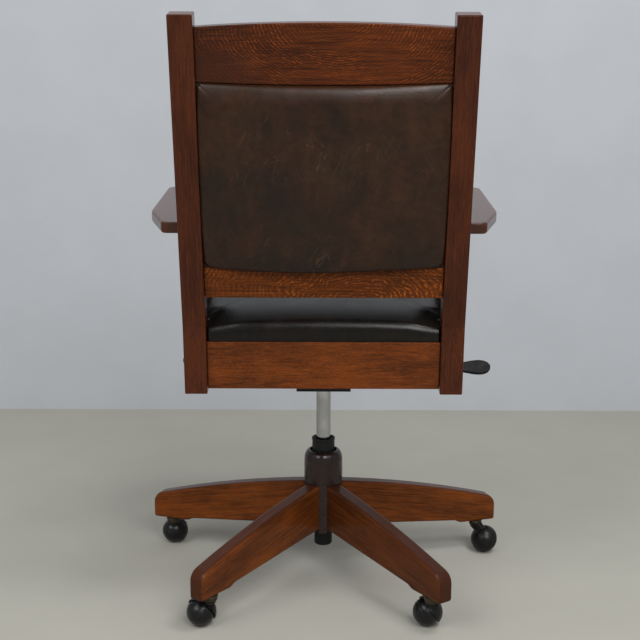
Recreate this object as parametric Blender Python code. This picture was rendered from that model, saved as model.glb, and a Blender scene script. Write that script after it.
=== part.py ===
"""Mission style desk chair: oak frame, leather pads, gas lift, tilt mechanism and a five-leg base.

The chair faces -Y and its back is toward +Y. Units are metres. The floor is z = 0.
Three frames of empties carry the pieces:
    column      the lift's axis on the floor, for the base and the casters
    seat_frame  the tilt pin's axis, sloped back, for all that tilts
    back_frame  the bend of the back posts, raked, for what lies in the back
"""
import math
from collections import namedtuple

import bmesh
import bpy
from mathutils import Matrix, Vector

# Clearances, and how far a cutter reaches past what it cuts
GAP = 0.0003
RUNNING_GAP = 0.0006
SLIDE_GAP = 0.0005
BEYOND = 0.0100

# Where the column stands, so that the origin is the middle of the footprint
COLUMN_X = 0.0044
COLUMN_Y = -0.0032

# Hub
HUB_RADIUS = 0.0377
HUB_BOTTOM = 0.0850
BELL_BOTTOM = 0.1840
BELL_SHOULDER = 0.2274
HUB_TOP = 0.2479
BELL_LIP = 0.0008
BELL_LIP_HEIGHT = 0.0025
MOUTH_RADIUS = 0.0265
MOUTH_DEPTH = 0.0085

# Legs
LEG_THICKNESS = 0.0300
LEG_REACH = 0.3700
LEG_INNER = 0.0265
LEG_END_TOP = 0.1195
LEG_TOP_CROWN = 0.0067
LEG_TIP_RADIUS = 0.0230
LEG_UNDER_HUB = 0.0925
LEG_UNDER_FOOT = 0.0712
LEG_FOOT_Z = 0.0655
LEG_FOOT_LENGTH = 0.0740
LEG_EDGE = 0.0048
BASE_TURN = math.radians(0.8)

# Gas lift
ROD_RADIUS = 0.0140
LIFT_DOWN = 0.0800
ROD_CUSHION = 0.0050
TUBE_RADIUS = 0.0205
TUBE_LEDGE = 0.0050
TUBE_FLOOR = 0.0060
COLLAR_RADIUS = 0.0219
COLLAR_TOP = 0.2727
COLLAR_CHAMFER = 0.0030
CAP_RADIUS = 0.0176
CAP_BOTTOM = 0.0520
CAP_FLOOR = 0.0050
SPIGOT_RADIUS = 0.0150
BUTTON_RADIUS = 0.0040
BUTTON_REST = 0.0004
BUTTON_WELL = 0.0090
BUTTON_FOOT = 0.0042
MOUTH_RIM = 0.0015
CAP_EASE = 0.0020
COLLAR_EASE = 0.0025

# Casters
STEM_FROM_TIP = 0.0370
STEM_CIRCLE = LEG_REACH - STEM_FROM_TIP
TRAIL = 0.0225
BALL_RADIUS = 0.0254
HOOD_WALL = 0.0018
HOOD_CLEARANCE = 0.0012
BALL_TILT = math.radians(35)
WHEEL_FACE = 0.0030
HOOD_FACE = 0.0045
AXLE_RADIUS = 0.0030
STEM_RADIUS = 0.0040
STEM_LENGTH = 0.0300
SOCKET_RADIUS = 0.0058
SOCKET_LENGTH = 0.0340
SOCKET_FLANGE = 0.0143
SOCKET_PLATE = 0.0022
HORN_RADIUS = 0.0138
HORN_HEIGHT = 0.0085
NECK_TOP_SHARE = 0.92
NECK_LOW_SHARE = 0.75
NECK_INSET = 0.0160
NECK_LIFT = 0.0100
BOSS_RADIUS = 0.0055
BOSS_FACE = 0.0065
SPINDLE_ROOT = 0.0090
SPINDLE_SHARE = 0.62

# Tilt mechanism
PIN_FORWARD = 0.0625
PIN_Z = 0.4560
PIN_RADIUS = 0.0050
PIN_STICK_OUT = 0.0020
PIN_WALL_REAR = 0.0090
PIN_WALL_FRONT = 0.0100
SEAT_SLOPE = math.radians(6.3)
HOUSING_WIDTH = 0.1020
HOUSING_BOTTOM = 0.3840
HOUSING_WALL = 0.0030
HOUSING_REAR = 0.0750
HOUSING_STEP = 0.0800
SHELF_FRONT = 0.1350
SHELF_Z = 0.4205
WALL_OVER_PIN = 0.0078
WALL_REAR_Z = 0.4180
WALL_FRONT_Z = 0.4435
SOCKET_TUBE_RADIUS = 0.0190
SOCKET_TUBE_CROWN = 0.0012
ROD_TOP = 0.4040
PLATE_WIDTH = 0.1700
PLATE_THICKNESS = 0.0030
PLATE_OVER_PIN = 0.0122
PLATE_FRONT = 0.1050
PLATE_REAR = 0.1450
EAR_WIDTH = 0.0280
EAR_DROP = 0.0095
BOLT_FORWARD = 0.0450
BOLT_RADIUS = 0.0040
BOLT_HEAD_RADIUS = 0.0080
BOLT_HEAD = 0.0050
BOLT_SLOT_REAR = 0.0410
BOLT_SLOT_LENGTH = 0.0250
BOLT_SLOT_WIDTH = 0.0110
KNOB_RADIUS = 0.0220
KNOB_TOP_DROP = 0.0620
KNOB_HEIGHT = 0.0440
KNOB_WALL = 0.0040
KNOB_FLOOR = 0.0120
KNOB_EASE = 0.0030
BOLT_END = 0.0020
SPRING_RADIUS = 0.0125
SPRING_WIRE = 0.0018
SPRING_TURNS = 6
CURL_POINTS = 8

# Levers
LEVER_Z = 0.4140
LEVER_RADIUS = 0.0040
LEVER_TIP = 0.3240
PADDLE_LENGTH = 0.0640
PADDLE_WIDTH = 0.0290
PADDLE_THICKNESS = 0.0075
PADDLE_FACING = math.radians(55)
PADDLE_SHAPE = ((0.0, 0.46), (0.14, 0.56), (0.30, 0.74), (0.44, 0.91), (0.58, 0.99), (0.70, 1.0),
                (0.82, 0.90), (0.92, 0.66), (0.98, 0.34))
PADDLE_DISH = 0.0025
DISH_SHARE = 0.36
DISH_STRETCH = 1.4
PADDLE_SOCKET = 0.0160
PADDLE_EDGE = 0.0022
LEVER_INSIDE = 0.0060
LEVER_HOLE = 0.0008
LOCK_Z = 0.4240
LOCK_FORWARD = 0.0100
LOCK_INSIDE = 0.0300
LOCK_TIP = 0.2740
LOCK_KNOB_RADIUS = 0.0060
LOCK_KNOB_LENGTH = 0.0300
LOCK_KNOB_BORE = 0.0120
LOCK_KNOB_EASE = 0.0020

# Seat frame, measured from the tilt pin along the seat's own axes
POST_WIDTH = 0.0388
POST_DEPTH = 0.0360
BACK_WIDTH = 0.4760
POST_REAR = 0.3170
POST_FOOT = 0.0044
BEND_Z = 0.1245
RAKE = math.radians(6.15)
POST_UPPER = 0.5130
WOOD_EDGE = 0.0018
RAIL_THICKNESS = 0.0200
RAIL_HEIGHT = 0.0847
RAIL_BOTTOM = 0.0115
TENON_THICKNESS = 0.0100
TENON_LENGTH = 0.0200
SIDE_TENON_LENGTH = 0.0120
TENON_SHOULDER = 0.0080
TENON_ROOT = 0.0060
FRONT_RAIL_FACE = 0.1720
LEDGER_WIDTH = 0.0180
LEDGER_HEIGHT = 0.0200
SEAT_BOARD = 0.0120
BATTEN_WIDTH = 0.0400
BATTEN_HEIGHT = 0.0220
BATTEN_FRONT = 0.0800
BATTEN_REAR = 0.1100
BLOCK_SIDE = 0.0450
BLOCK_HEIGHT = 0.0300

# Back
CREST_DROP = 0.0198
CREST_HEIGHT = 0.0834
CREST_BOTTOM = POST_UPPER - CREST_DROP - CREST_HEIGHT
CREST_ARCH = 0.0069
CREST_BOW = 0.0042
LOWER_RAIL_BOTTOM = 0.0510
LOWER_RAIL_HEIGHT = 0.0545
BOARD_THICKNESS = 0.0120
PAD_CLEARANCE = 0.0006

# Seat cushion, in line with the rails that carry it
CUSHION_INSET = 0.0006
CUSHION_SETBACK = 0.0020
CUSHION_REAR_SETBACK = 0.0010
CUSHION_WIDTH = BACK_WIDTH - POST_WIDTH + RAIL_THICKNESS - 2 * CUSHION_INSET
CUSHION_FRONT = FRONT_RAIL_FACE - CUSHION_SETBACK
CUSHION_CLEARANCE = 0.0010

# Padding: height at the corners, more along the edges, crown in the middle, edge roll,
# draw-in at the bottom, how far the rear corners are pulled down, overhang of the last edge
# and how square the outline is
REAR_PAD_CORNER = 0.0050
REAR_PAD_SWELL = 0.0195
REAR_PAD_CROWN = 0.0040
REAR_PAD_ROLL = 0.0120
REAR_PAD_OVERHANG = 0.0060
FRONT_PAD_CORNER = 0.0100
FRONT_PAD_SWELL = 0.0200
FRONT_PAD_CROWN = 0.0080
FRONT_PAD_ROLL = 0.0180
PAD_TUCK = 0.0006
PAD_SQUARENESS = 40.0
CUSHION_CORNER = 0.0340
CUSHION_SWELL = 0.0070
CUSHION_CROWN = 0.0120
CUSHION_ROLL = 0.0340
CUSHION_TUCK = 0.0010
CUSHION_PULL = 0.0160
CUSHION_SQUARENESS = 9.0
Padding = namedtuple("Padding", "corner swell crown roll squareness tuck pull bow overhang")
REAR_PAD = Padding(REAR_PAD_CORNER, REAR_PAD_SWELL, REAR_PAD_CROWN, REAR_PAD_ROLL, PAD_SQUARENESS,
                   PAD_TUCK, 0.0, CREST_BOW, REAR_PAD_OVERHANG)
FRONT_PAD = Padding(FRONT_PAD_CORNER, FRONT_PAD_SWELL, FRONT_PAD_CROWN, FRONT_PAD_ROLL, PAD_SQUARENESS,
                    PAD_TUCK, 0.0, CREST_BOW, 0.0)
CUSHION = Padding(CUSHION_CORNER, CUSHION_SWELL, CUSHION_CROWN, CUSHION_ROLL, CUSHION_SQUARENESS,
                  CUSHION_TUCK, CUSHION_PULL, 0.0, 0.0)
ROLL_SHARE = 0.85
CORNER_FALL = 2.2
LAST_STRIP = 0.9
PULL_FROM = 0.42
PULL_FULL = 0.86
PULL_REAR = 0.66

# Arms
ARM_OUTER = 0.3010
ARM_INNER = 0.2050
ARM_THICKNESS = 0.0195
ARM_TOP = 0.3013
ARM_FRONT = 0.0310
ARM_CLIP_LENGTH = 0.0960
ARM_CLIP_WIDTH = 0.0320
ARM_CORNER = 0.0180
ARM_CLIP_ROUND = 0.0900
ARM_END_ROUND = 0.0120
ARM_EDGE = 0.0040
SUPPORT_WIDTH = 0.0380
SUPPORT_DEPTH = 0.0420
SUPPORT_SETBACK = 0.0080

ROUND = 32
SMALL_ROUND = 16
BALL_STEPS = 20
KNOB_STEPS = 24

# Each leg's bearing from the rear, and the way its caster trails
CASTERS = (
    ("rear_left", 36.0, (0.83, -0.55)),
    ("side_left", 108.0, (0.05, -1.0)),
    ("front", 180.0, (-0.90, 0.40)),
    ("side_right", -108.0, (-0.85, 0.53)),
    ("rear_right", -36.0, (0.27, -0.96)),
)


def clear_scene():
    """Removes every object of the scene that the script starts in."""
    for thing in list(bpy.data.objects):
        bpy.data.objects.remove(thing, do_unlink=True)


def finish(name, colour, roughness, metallic=0.0):
    """Makes a Principled material."""
    material = bpy.data.materials.new(name)
    material.use_nodes = True
    shader = material.node_tree.nodes["Principled BSDF"]
    shader.inputs["Base Color"].default_value = (*colour, 1.0)
    shader.inputs["Roughness"].default_value = roughness
    shader.inputs["Metallic"].default_value = metallic
    return material


def oak():
    return finish("stained oak", (0.105, 0.032, 0.013), 0.42)


def backing():
    return finish("board with dark backing cloth", (0.022, 0.016, 0.012), 0.8)


def leather():
    return finish("dark leather", (0.028, 0.018, 0.013), 0.45)


def bronze_paint():
    return finish("dark bronze paint", (0.035, 0.022, 0.020), 0.38)


def black_steel():
    return finish("black steel", (0.016, 0.016, 0.017), 0.45, 0.6)


def black_plastic():
    return finish("black plastic", (0.014, 0.014, 0.015), 0.5)


def chrome():
    return finish("chrome", (0.62, 0.63, 0.65), 0.16, 1.0)


def zinc():
    return finish("zinc plated steel", (0.45, 0.45, 0.43), 0.35, 1.0)


def gunmetal():
    return finish("gunmetal", (0.030, 0.030, 0.028), 0.3, 0.8)


def brass():
    return finish("aged brass", (0.22, 0.16, 0.09), 0.4, 0.9)


def empty(name, location=(0.0, 0.0, 0.0), tilt=0.0, turn=0.0, parent=None):
    """Makes an empty, turned about X by tilt and about Z by turn."""
    frame = bpy.data.objects.new(name, None)
    bpy.context.collection.objects.link(frame)
    frame.location = location
    frame.rotation_euler = (tilt, 0.0, turn)
    frame.parent = parent
    return frame


def add_mesh(name, mesh, material, parent=None, location=(0.0, 0.0, 0.0)):
    """Puts a bmesh into the scene as an object with its material."""
    bmesh.ops.recalc_face_normals(mesh, faces=mesh.faces)
    data = bpy.data.meshes.new(name)
    mesh.to_mesh(data)
    mesh.free()
    if material:
        data.materials.append(material)
    thing = bpy.data.objects.new(name, data)
    bpy.context.collection.objects.link(thing)
    thing.location = location
    thing.parent = parent
    return thing


def smooth(thing, angle=35):
    """Shades a round piece smooth, with its edges kept sharp."""
    thing.data.shade_smooth()
    thing.data.set_sharp_from_angle(angle=math.radians(angle))
    return thing


def bevel(thing, width, segments=2, angle=40):
    """Eases the edges of a piece."""
    change = thing.modifiers.new("eased edges", "BEVEL")
    change.width = width
    change.segments = segments
    change.limit_method = "ANGLE"
    change.angle_limit = math.radians(angle)
    change.use_clamp_overlap = True
    change.harden_normals = False
    return thing


def cut(thing, cutter):
    """Cuts a hidden cutter out of a piece."""
    cutter.hide_render = True
    cutter.display_type = "WIRE"
    change = thing.modifiers.new("cut " + cutter.name, "BOOLEAN")
    change.operation = "DIFFERENCE"
    change.solver = "EXACT"
    change.object = cutter
    return thing


def join(thing, other):
    """Adds a hidden body to a piece."""
    other.hide_render = True
    other.display_type = "WIRE"
    change = thing.modifiers.new("join " + other.name, "BOOLEAN")
    change.operation = "UNION"
    change.solver = "EXACT"
    change.object = other
    return thing


def box_mesh(low, high):
    """A box from its low corner to its high corner."""
    mesh = bmesh.new()
    bmesh.ops.create_cube(mesh, size=1.0)
    size = Vector(high) - Vector(low)
    middle = (Vector(high) + Vector(low)) / 2
    bmesh.ops.transform(mesh, matrix=Matrix.Diagonal((*size, 1.0)), verts=mesh.verts)
    bmesh.ops.translate(mesh, vec=middle, verts=mesh.verts)
    return mesh


def box(name, low, high, material=None, parent=None):
    return add_mesh(name, box_mesh(low, high), material, parent)


def prism_mesh(outline, low, high, axes="YZ"):
    """An outline pushed from low to high along the axis that axes leaves out."""
    order = {"YZ": (2, 0, 1), "XY": (0, 1, 2), "XZ": (0, 2, 1)}[axes]
    mesh = bmesh.new()
    rings = []
    for level in (low, high):
        ring = []
        for first, second in outline:
            values = (first, second, level)
            ring.append(mesh.verts.new([values[i] for i in order]))
        rings.append(ring)
    count = len(outline)
    mesh.faces.new(rings[0][::-1])
    mesh.faces.new(rings[1])
    for i in range(count):
        j = (i + 1) % count
        mesh.faces.new((rings[0][i], rings[0][j], rings[1][j], rings[1][i]))
    return mesh


def prism(name, outline, low, high, axes="YZ", material=None, parent=None):
    return add_mesh(name, prism_mesh(outline, low, high, axes), material, parent)


def turned_mesh(profile, steps=ROUND):
    """A closed profile of radius and height pairs, turned about Z."""
    mesh = bmesh.new()
    rings = []
    for radius, height in profile:
        if radius < 1e-7:
            rings.append([mesh.verts.new((0.0, 0.0, height))])
            continue
        ring = []
        for k in range(steps):
            angle = 2 * math.pi * k / steps
            ring.append(mesh.verts.new((radius * math.cos(angle), radius * math.sin(angle), height)))
        rings.append(ring)
    hollow = all(len(ring) > 1 for ring in rings)
    pairs = list(zip(rings, rings[1:]))
    if hollow:
        pairs.append((rings[-1], rings[0]))
    for first, second in pairs:
        for k in range(steps):
            n = (k + 1) % steps
            if len(first) == 1 and len(second) == 1:
                continue
            if len(first) == 1:
                mesh.faces.new((first[0], second[k], second[n]))
            elif len(second) == 1:
                mesh.faces.new((first[k], first[n], second[0]))
            else:
                mesh.faces.new((first[k], first[n], second[n], second[k]))
    return mesh


def turned(name, profile, material=None, parent=None, location=(0.0, 0.0, 0.0), steps=ROUND):
    thing = add_mesh(name, turned_mesh(profile, steps), material, parent, location)
    return smooth(thing)


def rod_mesh(start, end, radius, steps=SMALL_ROUND, end_radius=None):
    """A round bar between two points."""
    start = Vector(start)
    end = Vector(end)
    mesh = bmesh.new()
    bmesh.ops.create_cone(mesh, cap_ends=True, cap_tris=False, segments=steps, radius1=radius,
                          radius2=radius if end_radius is None else end_radius,
                          depth=(end - start).length)
    turn = Vector((0, 0, 1)).rotation_difference(end - start).to_matrix().to_4x4()
    bmesh.ops.transform(mesh, matrix=Matrix.Translation((start + end) / 2) @ turn, verts=mesh.verts)
    return mesh


def rod(name, start, end, radius, material=None, parent=None, steps=SMALL_ROUND, end_radius=None):
    thing = add_mesh(name, rod_mesh(start, end, radius, steps, end_radius), material, parent)
    return smooth(thing)


def arc(centre, radius, start, end, count):
    """Points on an arc, with its angles in degrees."""
    points = []
    for i in range(count + 1):
        angle = math.radians(start + (end - start) * i / count)
        points.append((centre[0] + radius * math.cos(angle), centre[1] + radius * math.sin(angle)))
    return points


def bowed(first, last, rise, count):
    """Points between two ends, with the middle raised, without the last one."""
    points = []
    for i in range(count):
        t = i / count
        across = first[0] + (last[0] - first[0]) * t
        along = first[1] + (last[1] - first[1]) * t + rise * 4 * t * (1 - t)
        points.append((across, along))
    return points


def rounded(corners, steps=5):
    """An outline with each corner (x, y, radius) turned into an arc."""
    points = []
    count = len(corners)
    for i, (x, y, radius) in enumerate(corners):
        here = Vector((x, y))
        before = (Vector(corners[i - 1][:2]) - here).normalized()
        after = (Vector(corners[(i + 1) % count][:2]) - here).normalized()
        if radius <= 0:
            points.append((x, y))
            continue
        half = math.acos(max(-1.0, min(1.0, before.dot(after)))) / 2
        reach = radius / math.tan(half)
        middle = here + (before + after).normalized() * (radius / math.sin(half))
        start = here + before * reach - middle
        end = here + after * reach - middle
        turn = start.angle_signed(end)
        for k in range(steps + 1):
            spoke = start.copy()
            spoke.rotate(Matrix.Rotation(-turn * k / steps, 2))
            points.append((middle.x + spoke.x, middle.y + spoke.y))
    return points


def ramp(value, start, end):
    """Rises smoothly from 0 at start to 1 at end."""
    share = max(0.0, min(1.0, (value - start) / (end - start)))
    return share * share * (3 - 2 * share)


def padded_mesh(half_width, half_depth, padding, cells=14):
    """A cushion on the plane z = 0, with full edges, lower corners and a crown."""
    mesh = bmesh.new()
    corner = padding.squareness

    def place(u, v, inset, level):
        largest = max(abs(u), abs(v))
        norm = (abs(u) ** corner + abs(v) ** corner) ** (1 / corner)
        scale = largest / norm if norm > 0 else 1.0
        shift = padding.bow * (1 - u * u) * (1 - v) / 2
        if LAST_STRIP < v < 1.0:
            shift += ((1 - v) * half_depth + padding.overhang) * (1 - u * u) * bool(padding.overhang)
        return Vector((u * scale * (half_width - inset), v * scale * (half_depth - inset) + shift, level))

    def full(u, v):
        edge = padding.corner + padding.swell * (1 - abs(u * v) ** CORNER_FALL)
        pull = padding.pull * ramp(abs(u), PULL_FROM, PULL_FULL) * ramp(v, PULL_REAR, 1.0)
        return edge + padding.crown * (1 - u * u) * (1 - v * v) - pull

    def rise(u, v):
        level = full(u, v)
        across = max(0.0, 1 - (1 - abs(u)) * half_width / padding.roll)
        along = max(0.0, 1 - (1 - abs(v)) * half_depth / padding.roll)
        fall = 1 - math.sqrt(max(0.0, 1 - across ** 2 - along ** 2))
        return level - fall * min(padding.roll, ROLL_SHARE * level)

    marks = [math.sin(math.pi / 2 * (2 * k / cells - 1)) for k in range(cells + 1)]
    top = [[mesh.verts.new(place(u, v, 0.0, rise(u, v))) for v in marks] for u in marks]
    for i in range(cells):
        for j in range(cells):
            mesh.faces.new((top[i][j], top[i + 1][j], top[i + 1][j + 1], top[i][j + 1]))
    rim = [(i, 0) for i in range(cells)] + [(cells, j) for j in range(cells)]
    rim += [(cells - i, cells) for i in range(cells)] + [(0, cells - j) for j in range(cells)]
    upper = [top[i][j] for i, j in rim]
    lower = [mesh.verts.new(place(marks[i], marks[j], padding.tuck, 0.0)) for i, j in rim]
    for k in range(len(rim)):
        n = (k + 1) % len(rim)
        mesh.faces.new((upper[k], lower[k], lower[n], upper[n]))
    mesh.faces.new(lower)
    return mesh


def padded(name, half_width, half_depth, padding, parent, location, tilt=0.0, turn=0.0):
    thing = add_mesh(name, padded_mesh(half_width, half_depth, padding), leather(), parent, location)
    thing.rotation_euler = (tilt, 0.0, turn)
    return smooth(thing, 60)


def leg_turn(bearing):
    """The turn about Z that points +X along a bearing taken from the rear."""
    return math.radians(90.0 - bearing) - BASE_TURN


def leg_outline():
    """The side of a leg: distance from the column and height."""
    lean = math.radians(75)
    middle = (LEG_REACH - LEG_TIP_RADIUS, LEG_END_TOP - LEG_TIP_RADIUS * math.sin(lean))
    start = (LEG_INNER, BELL_BOTTOM - GAP)
    end = (middle[0] + LEG_TIP_RADIUS * math.cos(lean), LEG_END_TOP)
    points = bowed(start, end, LEG_TOP_CROWN, 8)
    points += arc(middle, LEG_TIP_RADIUS, 75, 0, 6)
    points.append((LEG_REACH, LEG_FOOT_Z))
    heel = LEG_REACH - LEG_FOOT_LENGTH
    rise = LEG_UNDER_FOOT - LEG_FOOT_Z
    for k in range(5):
        share = k / 4
        across = heel - 3 * rise * share
        points.append((across, LEG_FOOT_Z + rise * (1 - math.cos(math.pi * share)) / 2))
    points.append((LEG_INNER, LEG_UNDER_HUB))
    return points


def make_hub(column):
    bore = TUBE_RADIUS + GAP
    profile = [(SPIGOT_RADIUS + GAP, HUB_BOTTOM), (HUB_RADIUS, HUB_BOTTOM), (HUB_RADIUS, BELL_BOTTOM)]
    profile += [(HUB_RADIUS + BELL_LIP, BELL_BOTTOM), (HUB_RADIUS + BELL_LIP, BELL_BOTTOM + BELL_LIP_HEIGHT)]
    profile.append((HUB_RADIUS, BELL_BOTTOM + BELL_LIP_HEIGHT + BELL_LIP))
    crown = MOUTH_RADIUS + MOUTH_RIM
    for k in range(6):
        angle = math.radians(18 * k)
        profile.append((crown + (HUB_RADIUS - crown) * math.cos(angle),
                        BELL_SHOULDER + (HUB_TOP - BELL_SHOULDER) * math.sin(angle)))
    profile += [(MOUTH_RADIUS, HUB_TOP), (MOUTH_RADIUS, HUB_TOP - MOUTH_DEPTH)]
    profile += [(bore, HUB_TOP - MOUTH_DEPTH), (bore, HUB_BOTTOM + TUBE_LEDGE)]
    profile.append((SPIGOT_RADIUS + GAP, HUB_BOTTOM + TUBE_LEDGE))
    hub = turned("base_hub", profile, bronze_paint(), column)
    half = LEG_THICKNESS / 2 + GAP
    for name, bearing, trail in CASTERS:
        slot = box("slot_" + name, (LEG_INNER - GAP, -half, HUB_BOTTOM - 2 * BEYOND),
                   (HUB_RADIUS + 2 * BEYOND, half, BELL_BOTTOM), None, column)
        slot.rotation_euler = (0.0, 0.0, leg_turn(bearing))
        cut(hub, slot)
    return hub


def make_legs(column):
    for name, bearing, trail in CASTERS:
        half = LEG_THICKNESS / 2
        leg = prism("leg_" + name, leg_outline(), -half, half, "XZ", oak(), column)
        leg.rotation_euler = (0.0, 0.0, leg_turn(bearing))
        bevel(leg, LEG_EDGE, 3, 50)
        bore = rod("bore_" + name, (STEM_CIRCLE, 0.0, LEG_FOOT_Z - BEYOND),
                   (STEM_CIRCLE, 0.0, LEG_FOOT_Z + SOCKET_LENGTH + GAP), SOCKET_RADIUS + GAP, None, column)
        bore.rotation_euler = leg.rotation_euler
        cut(leg, bore)
        profile = [(STEM_RADIUS + GAP, LEG_FOOT_Z - GAP - SOCKET_PLATE)]
        profile += [(SOCKET_FLANGE, LEG_FOOT_Z - GAP - SOCKET_PLATE), (SOCKET_FLANGE, LEG_FOOT_Z - GAP)]
        profile += [(SOCKET_RADIUS, LEG_FOOT_Z - GAP), (SOCKET_RADIUS, LEG_FOOT_Z + SOCKET_LENGTH)]
        profile.append((STEM_RADIUS + GAP, LEG_FOOT_Z + SOCKET_LENGTH))
        turned("caster_socket_" + name, profile, brass(), column, stem_place(bearing), 12)


def stem_place(bearing):
    """Where a caster's stem stands, seen from the column."""
    angle = leg_turn(bearing)
    return (STEM_CIRCLE * math.cos(angle), STEM_CIRCLE * math.sin(angle), 0.0)


def make_caster(name, bearing, trail, column):
    """A ball caster: a hood with its stem, a domed wheel and the axle between them."""
    swivel = empty("swivel_" + name, stem_place(bearing), 0.0, math.atan2(trail[1], trail[0]), column)
    ball = Vector((TRAIL, 0.0, BALL_RADIUS))
    axis = Vector((0.0, math.cos(BALL_TILT), -math.sin(BALL_TILT)))
    clear = BALL_RADIUS + HOOD_CLEARANCE
    shell = clear + HOOD_WALL
    mesh = bmesh.new()
    bmesh.ops.create_uvsphere(mesh, u_segments=BALL_STEPS, v_segments=BALL_STEPS // 2, radius=shell)
    turn = Vector((0, 0, 1)).rotation_difference(axis).to_matrix().to_4x4()
    bmesh.ops.transform(mesh, matrix=Matrix.Translation(ball) @ turn, verts=mesh.verts)
    whole = mesh.verts[:] + mesh.edges[:] + mesh.faces[:]
    sliced = bmesh.ops.bisect_plane(mesh, geom=whole, plane_co=ball - axis * HOOD_FACE, plane_no=axis,
                                    clear_outer=True)
    rim = [part for part in sliced["geom_cut"] if isinstance(part, bmesh.types.BMEdge)]
    bmesh.ops.contextual_create(mesh, geom=rim)
    hood = smooth(add_mesh("caster_hood_" + name, mesh, gunmetal(), swivel))
    horn_top = LEG_FOOT_Z - GAP - SOCKET_PLATE - RUNNING_GAP
    horn_low = horn_top - HORN_HEIGHT
    neck_end = ball - axis * NECK_INSET + Vector((0.0, 0.0, NECK_LIFT))
    neck = rod("neck_" + name, (0.0, 0.0, horn_top - HORN_RADIUS), neck_end, HORN_RADIUS * NECK_TOP_SHARE,
               None, swivel, 12, HORN_RADIUS * NECK_LOW_SHARE)
    join(hood, neck)
    stem_top = LEG_FOOT_Z + STEM_LENGTH
    horn = turned("horn_" + name, [(0.0, horn_low), (HORN_RADIUS, horn_low), (HORN_RADIUS, horn_top),
                                   (STEM_RADIUS, horn_top), (STEM_RADIUS, stem_top), (0.0, stem_top)],
                  None, swivel, steps=SMALL_ROUND)
    join(hood, horn)
    hollow = bmesh.new()
    bmesh.ops.create_uvsphere(hollow, u_segments=SMALL_ROUND, v_segments=SMALL_ROUND // 2, radius=clear)
    bmesh.ops.transform(hollow, matrix=Matrix.Translation(ball) @ turn, verts=hollow.verts)
    cut(hood, add_mesh("hollow_" + name, hollow, None, swivel))
    boss = rod("boss_" + name, ball - axis * (clear + HOOD_WALL / 2), ball - axis * BOSS_FACE, BOSS_RADIUS,
               None, swivel, 12)
    join(hood, boss)
    reach = BALL_RADIUS * SPINDLE_SHARE
    join(hood, rod("spindle_" + name, ball - axis * SPINDLE_ROOT, ball + axis * (reach - GAP), AXLE_RADIUS,
                   None, swivel, 12))
    wheel_frame = empty("axle_line_" + name, tuple(ball), 0.0, 0.0, swivel)
    wheel_frame.rotation_euler = Vector((0, 0, 1)).rotation_difference(axis).to_euler()
    bore = AXLE_RADIUS + GAP
    profile = [(0.0, reach), (bore, reach), (bore, -WHEEL_FACE)]
    low = math.degrees(math.asin(-WHEEL_FACE / BALL_RADIUS))
    profile += arc((0.0, 0.0), BALL_RADIUS, low, 75, 6)
    profile.append((0.0, BALL_RADIUS))
    turned("caster_wheel_" + name, profile, gunmetal(), wheel_frame, steps=BALL_STEPS)


def make_lift(column):
    """The gas lift: tube, collar and cap stay in the hub, rod and button slide."""
    floor = HUB_TOP - MOUTH_DEPTH
    ledge = HUB_BOTTOM + TUBE_LEDGE + GAP
    foot = CAP_BOTTOM + CAP_FLOOR + GAP
    guide = ROD_RADIUS + SLIDE_GAP
    bottom = ledge + TUBE_FLOOR
    turned("lift_tube", [(0.0, foot), (SPIGOT_RADIUS, foot), (SPIGOT_RADIUS, ledge), (TUBE_RADIUS, ledge),
                         (TUBE_RADIUS, floor), (guide, floor), (guide, bottom), (0.0, bottom)],
           black_steel(), column)
    base = floor + GAP
    turned("lift_collar", [(guide, base), (COLLAR_RADIUS, base), (COLLAR_RADIUS, COLLAR_TOP - COLLAR_EASE),
                           (COLLAR_RADIUS - COLLAR_EASE, COLLAR_TOP), (guide + COLLAR_CHAMFER, COLLAR_TOP),
                           (guide, COLLAR_TOP - COLLAR_CHAMFER)], black_plastic(), column)
    inner = SPIGOT_RADIUS + GAP
    ease = CAP_BOTTOM + CAP_EASE
    cup = CAP_BOTTOM + CAP_FLOOR
    turned("lift_cap", [(0.0, CAP_BOTTOM), (CAP_RADIUS - CAP_EASE, CAP_BOTTOM), (CAP_RADIUS, ease),
                        (CAP_RADIUS, HUB_BOTTOM - GAP), (inner, HUB_BOTTOM - GAP), (inner, cup), (0.0, cup)],
           black_plastic(), column)
    low = bottom + LIFT_DOWN + ROD_CUSHION
    well = BUTTON_RADIUS + GAP
    turned("lift_rod", [(0.0, low), (ROD_RADIUS, low), (ROD_RADIUS, ROD_TOP), (well, ROD_TOP),
                        (well, ROD_TOP - BUTTON_WELL), (0.0, ROD_TOP - BUTTON_WELL)], chrome(), column)
    rod("release_button", (0.0, 0.0, ROD_TOP - BUTTON_FOOT), (0.0, 0.0, LEVER_Z - LEVER_RADIUS - BUTTON_REST),
        BUTTON_RADIUS, zinc(), column)


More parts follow.
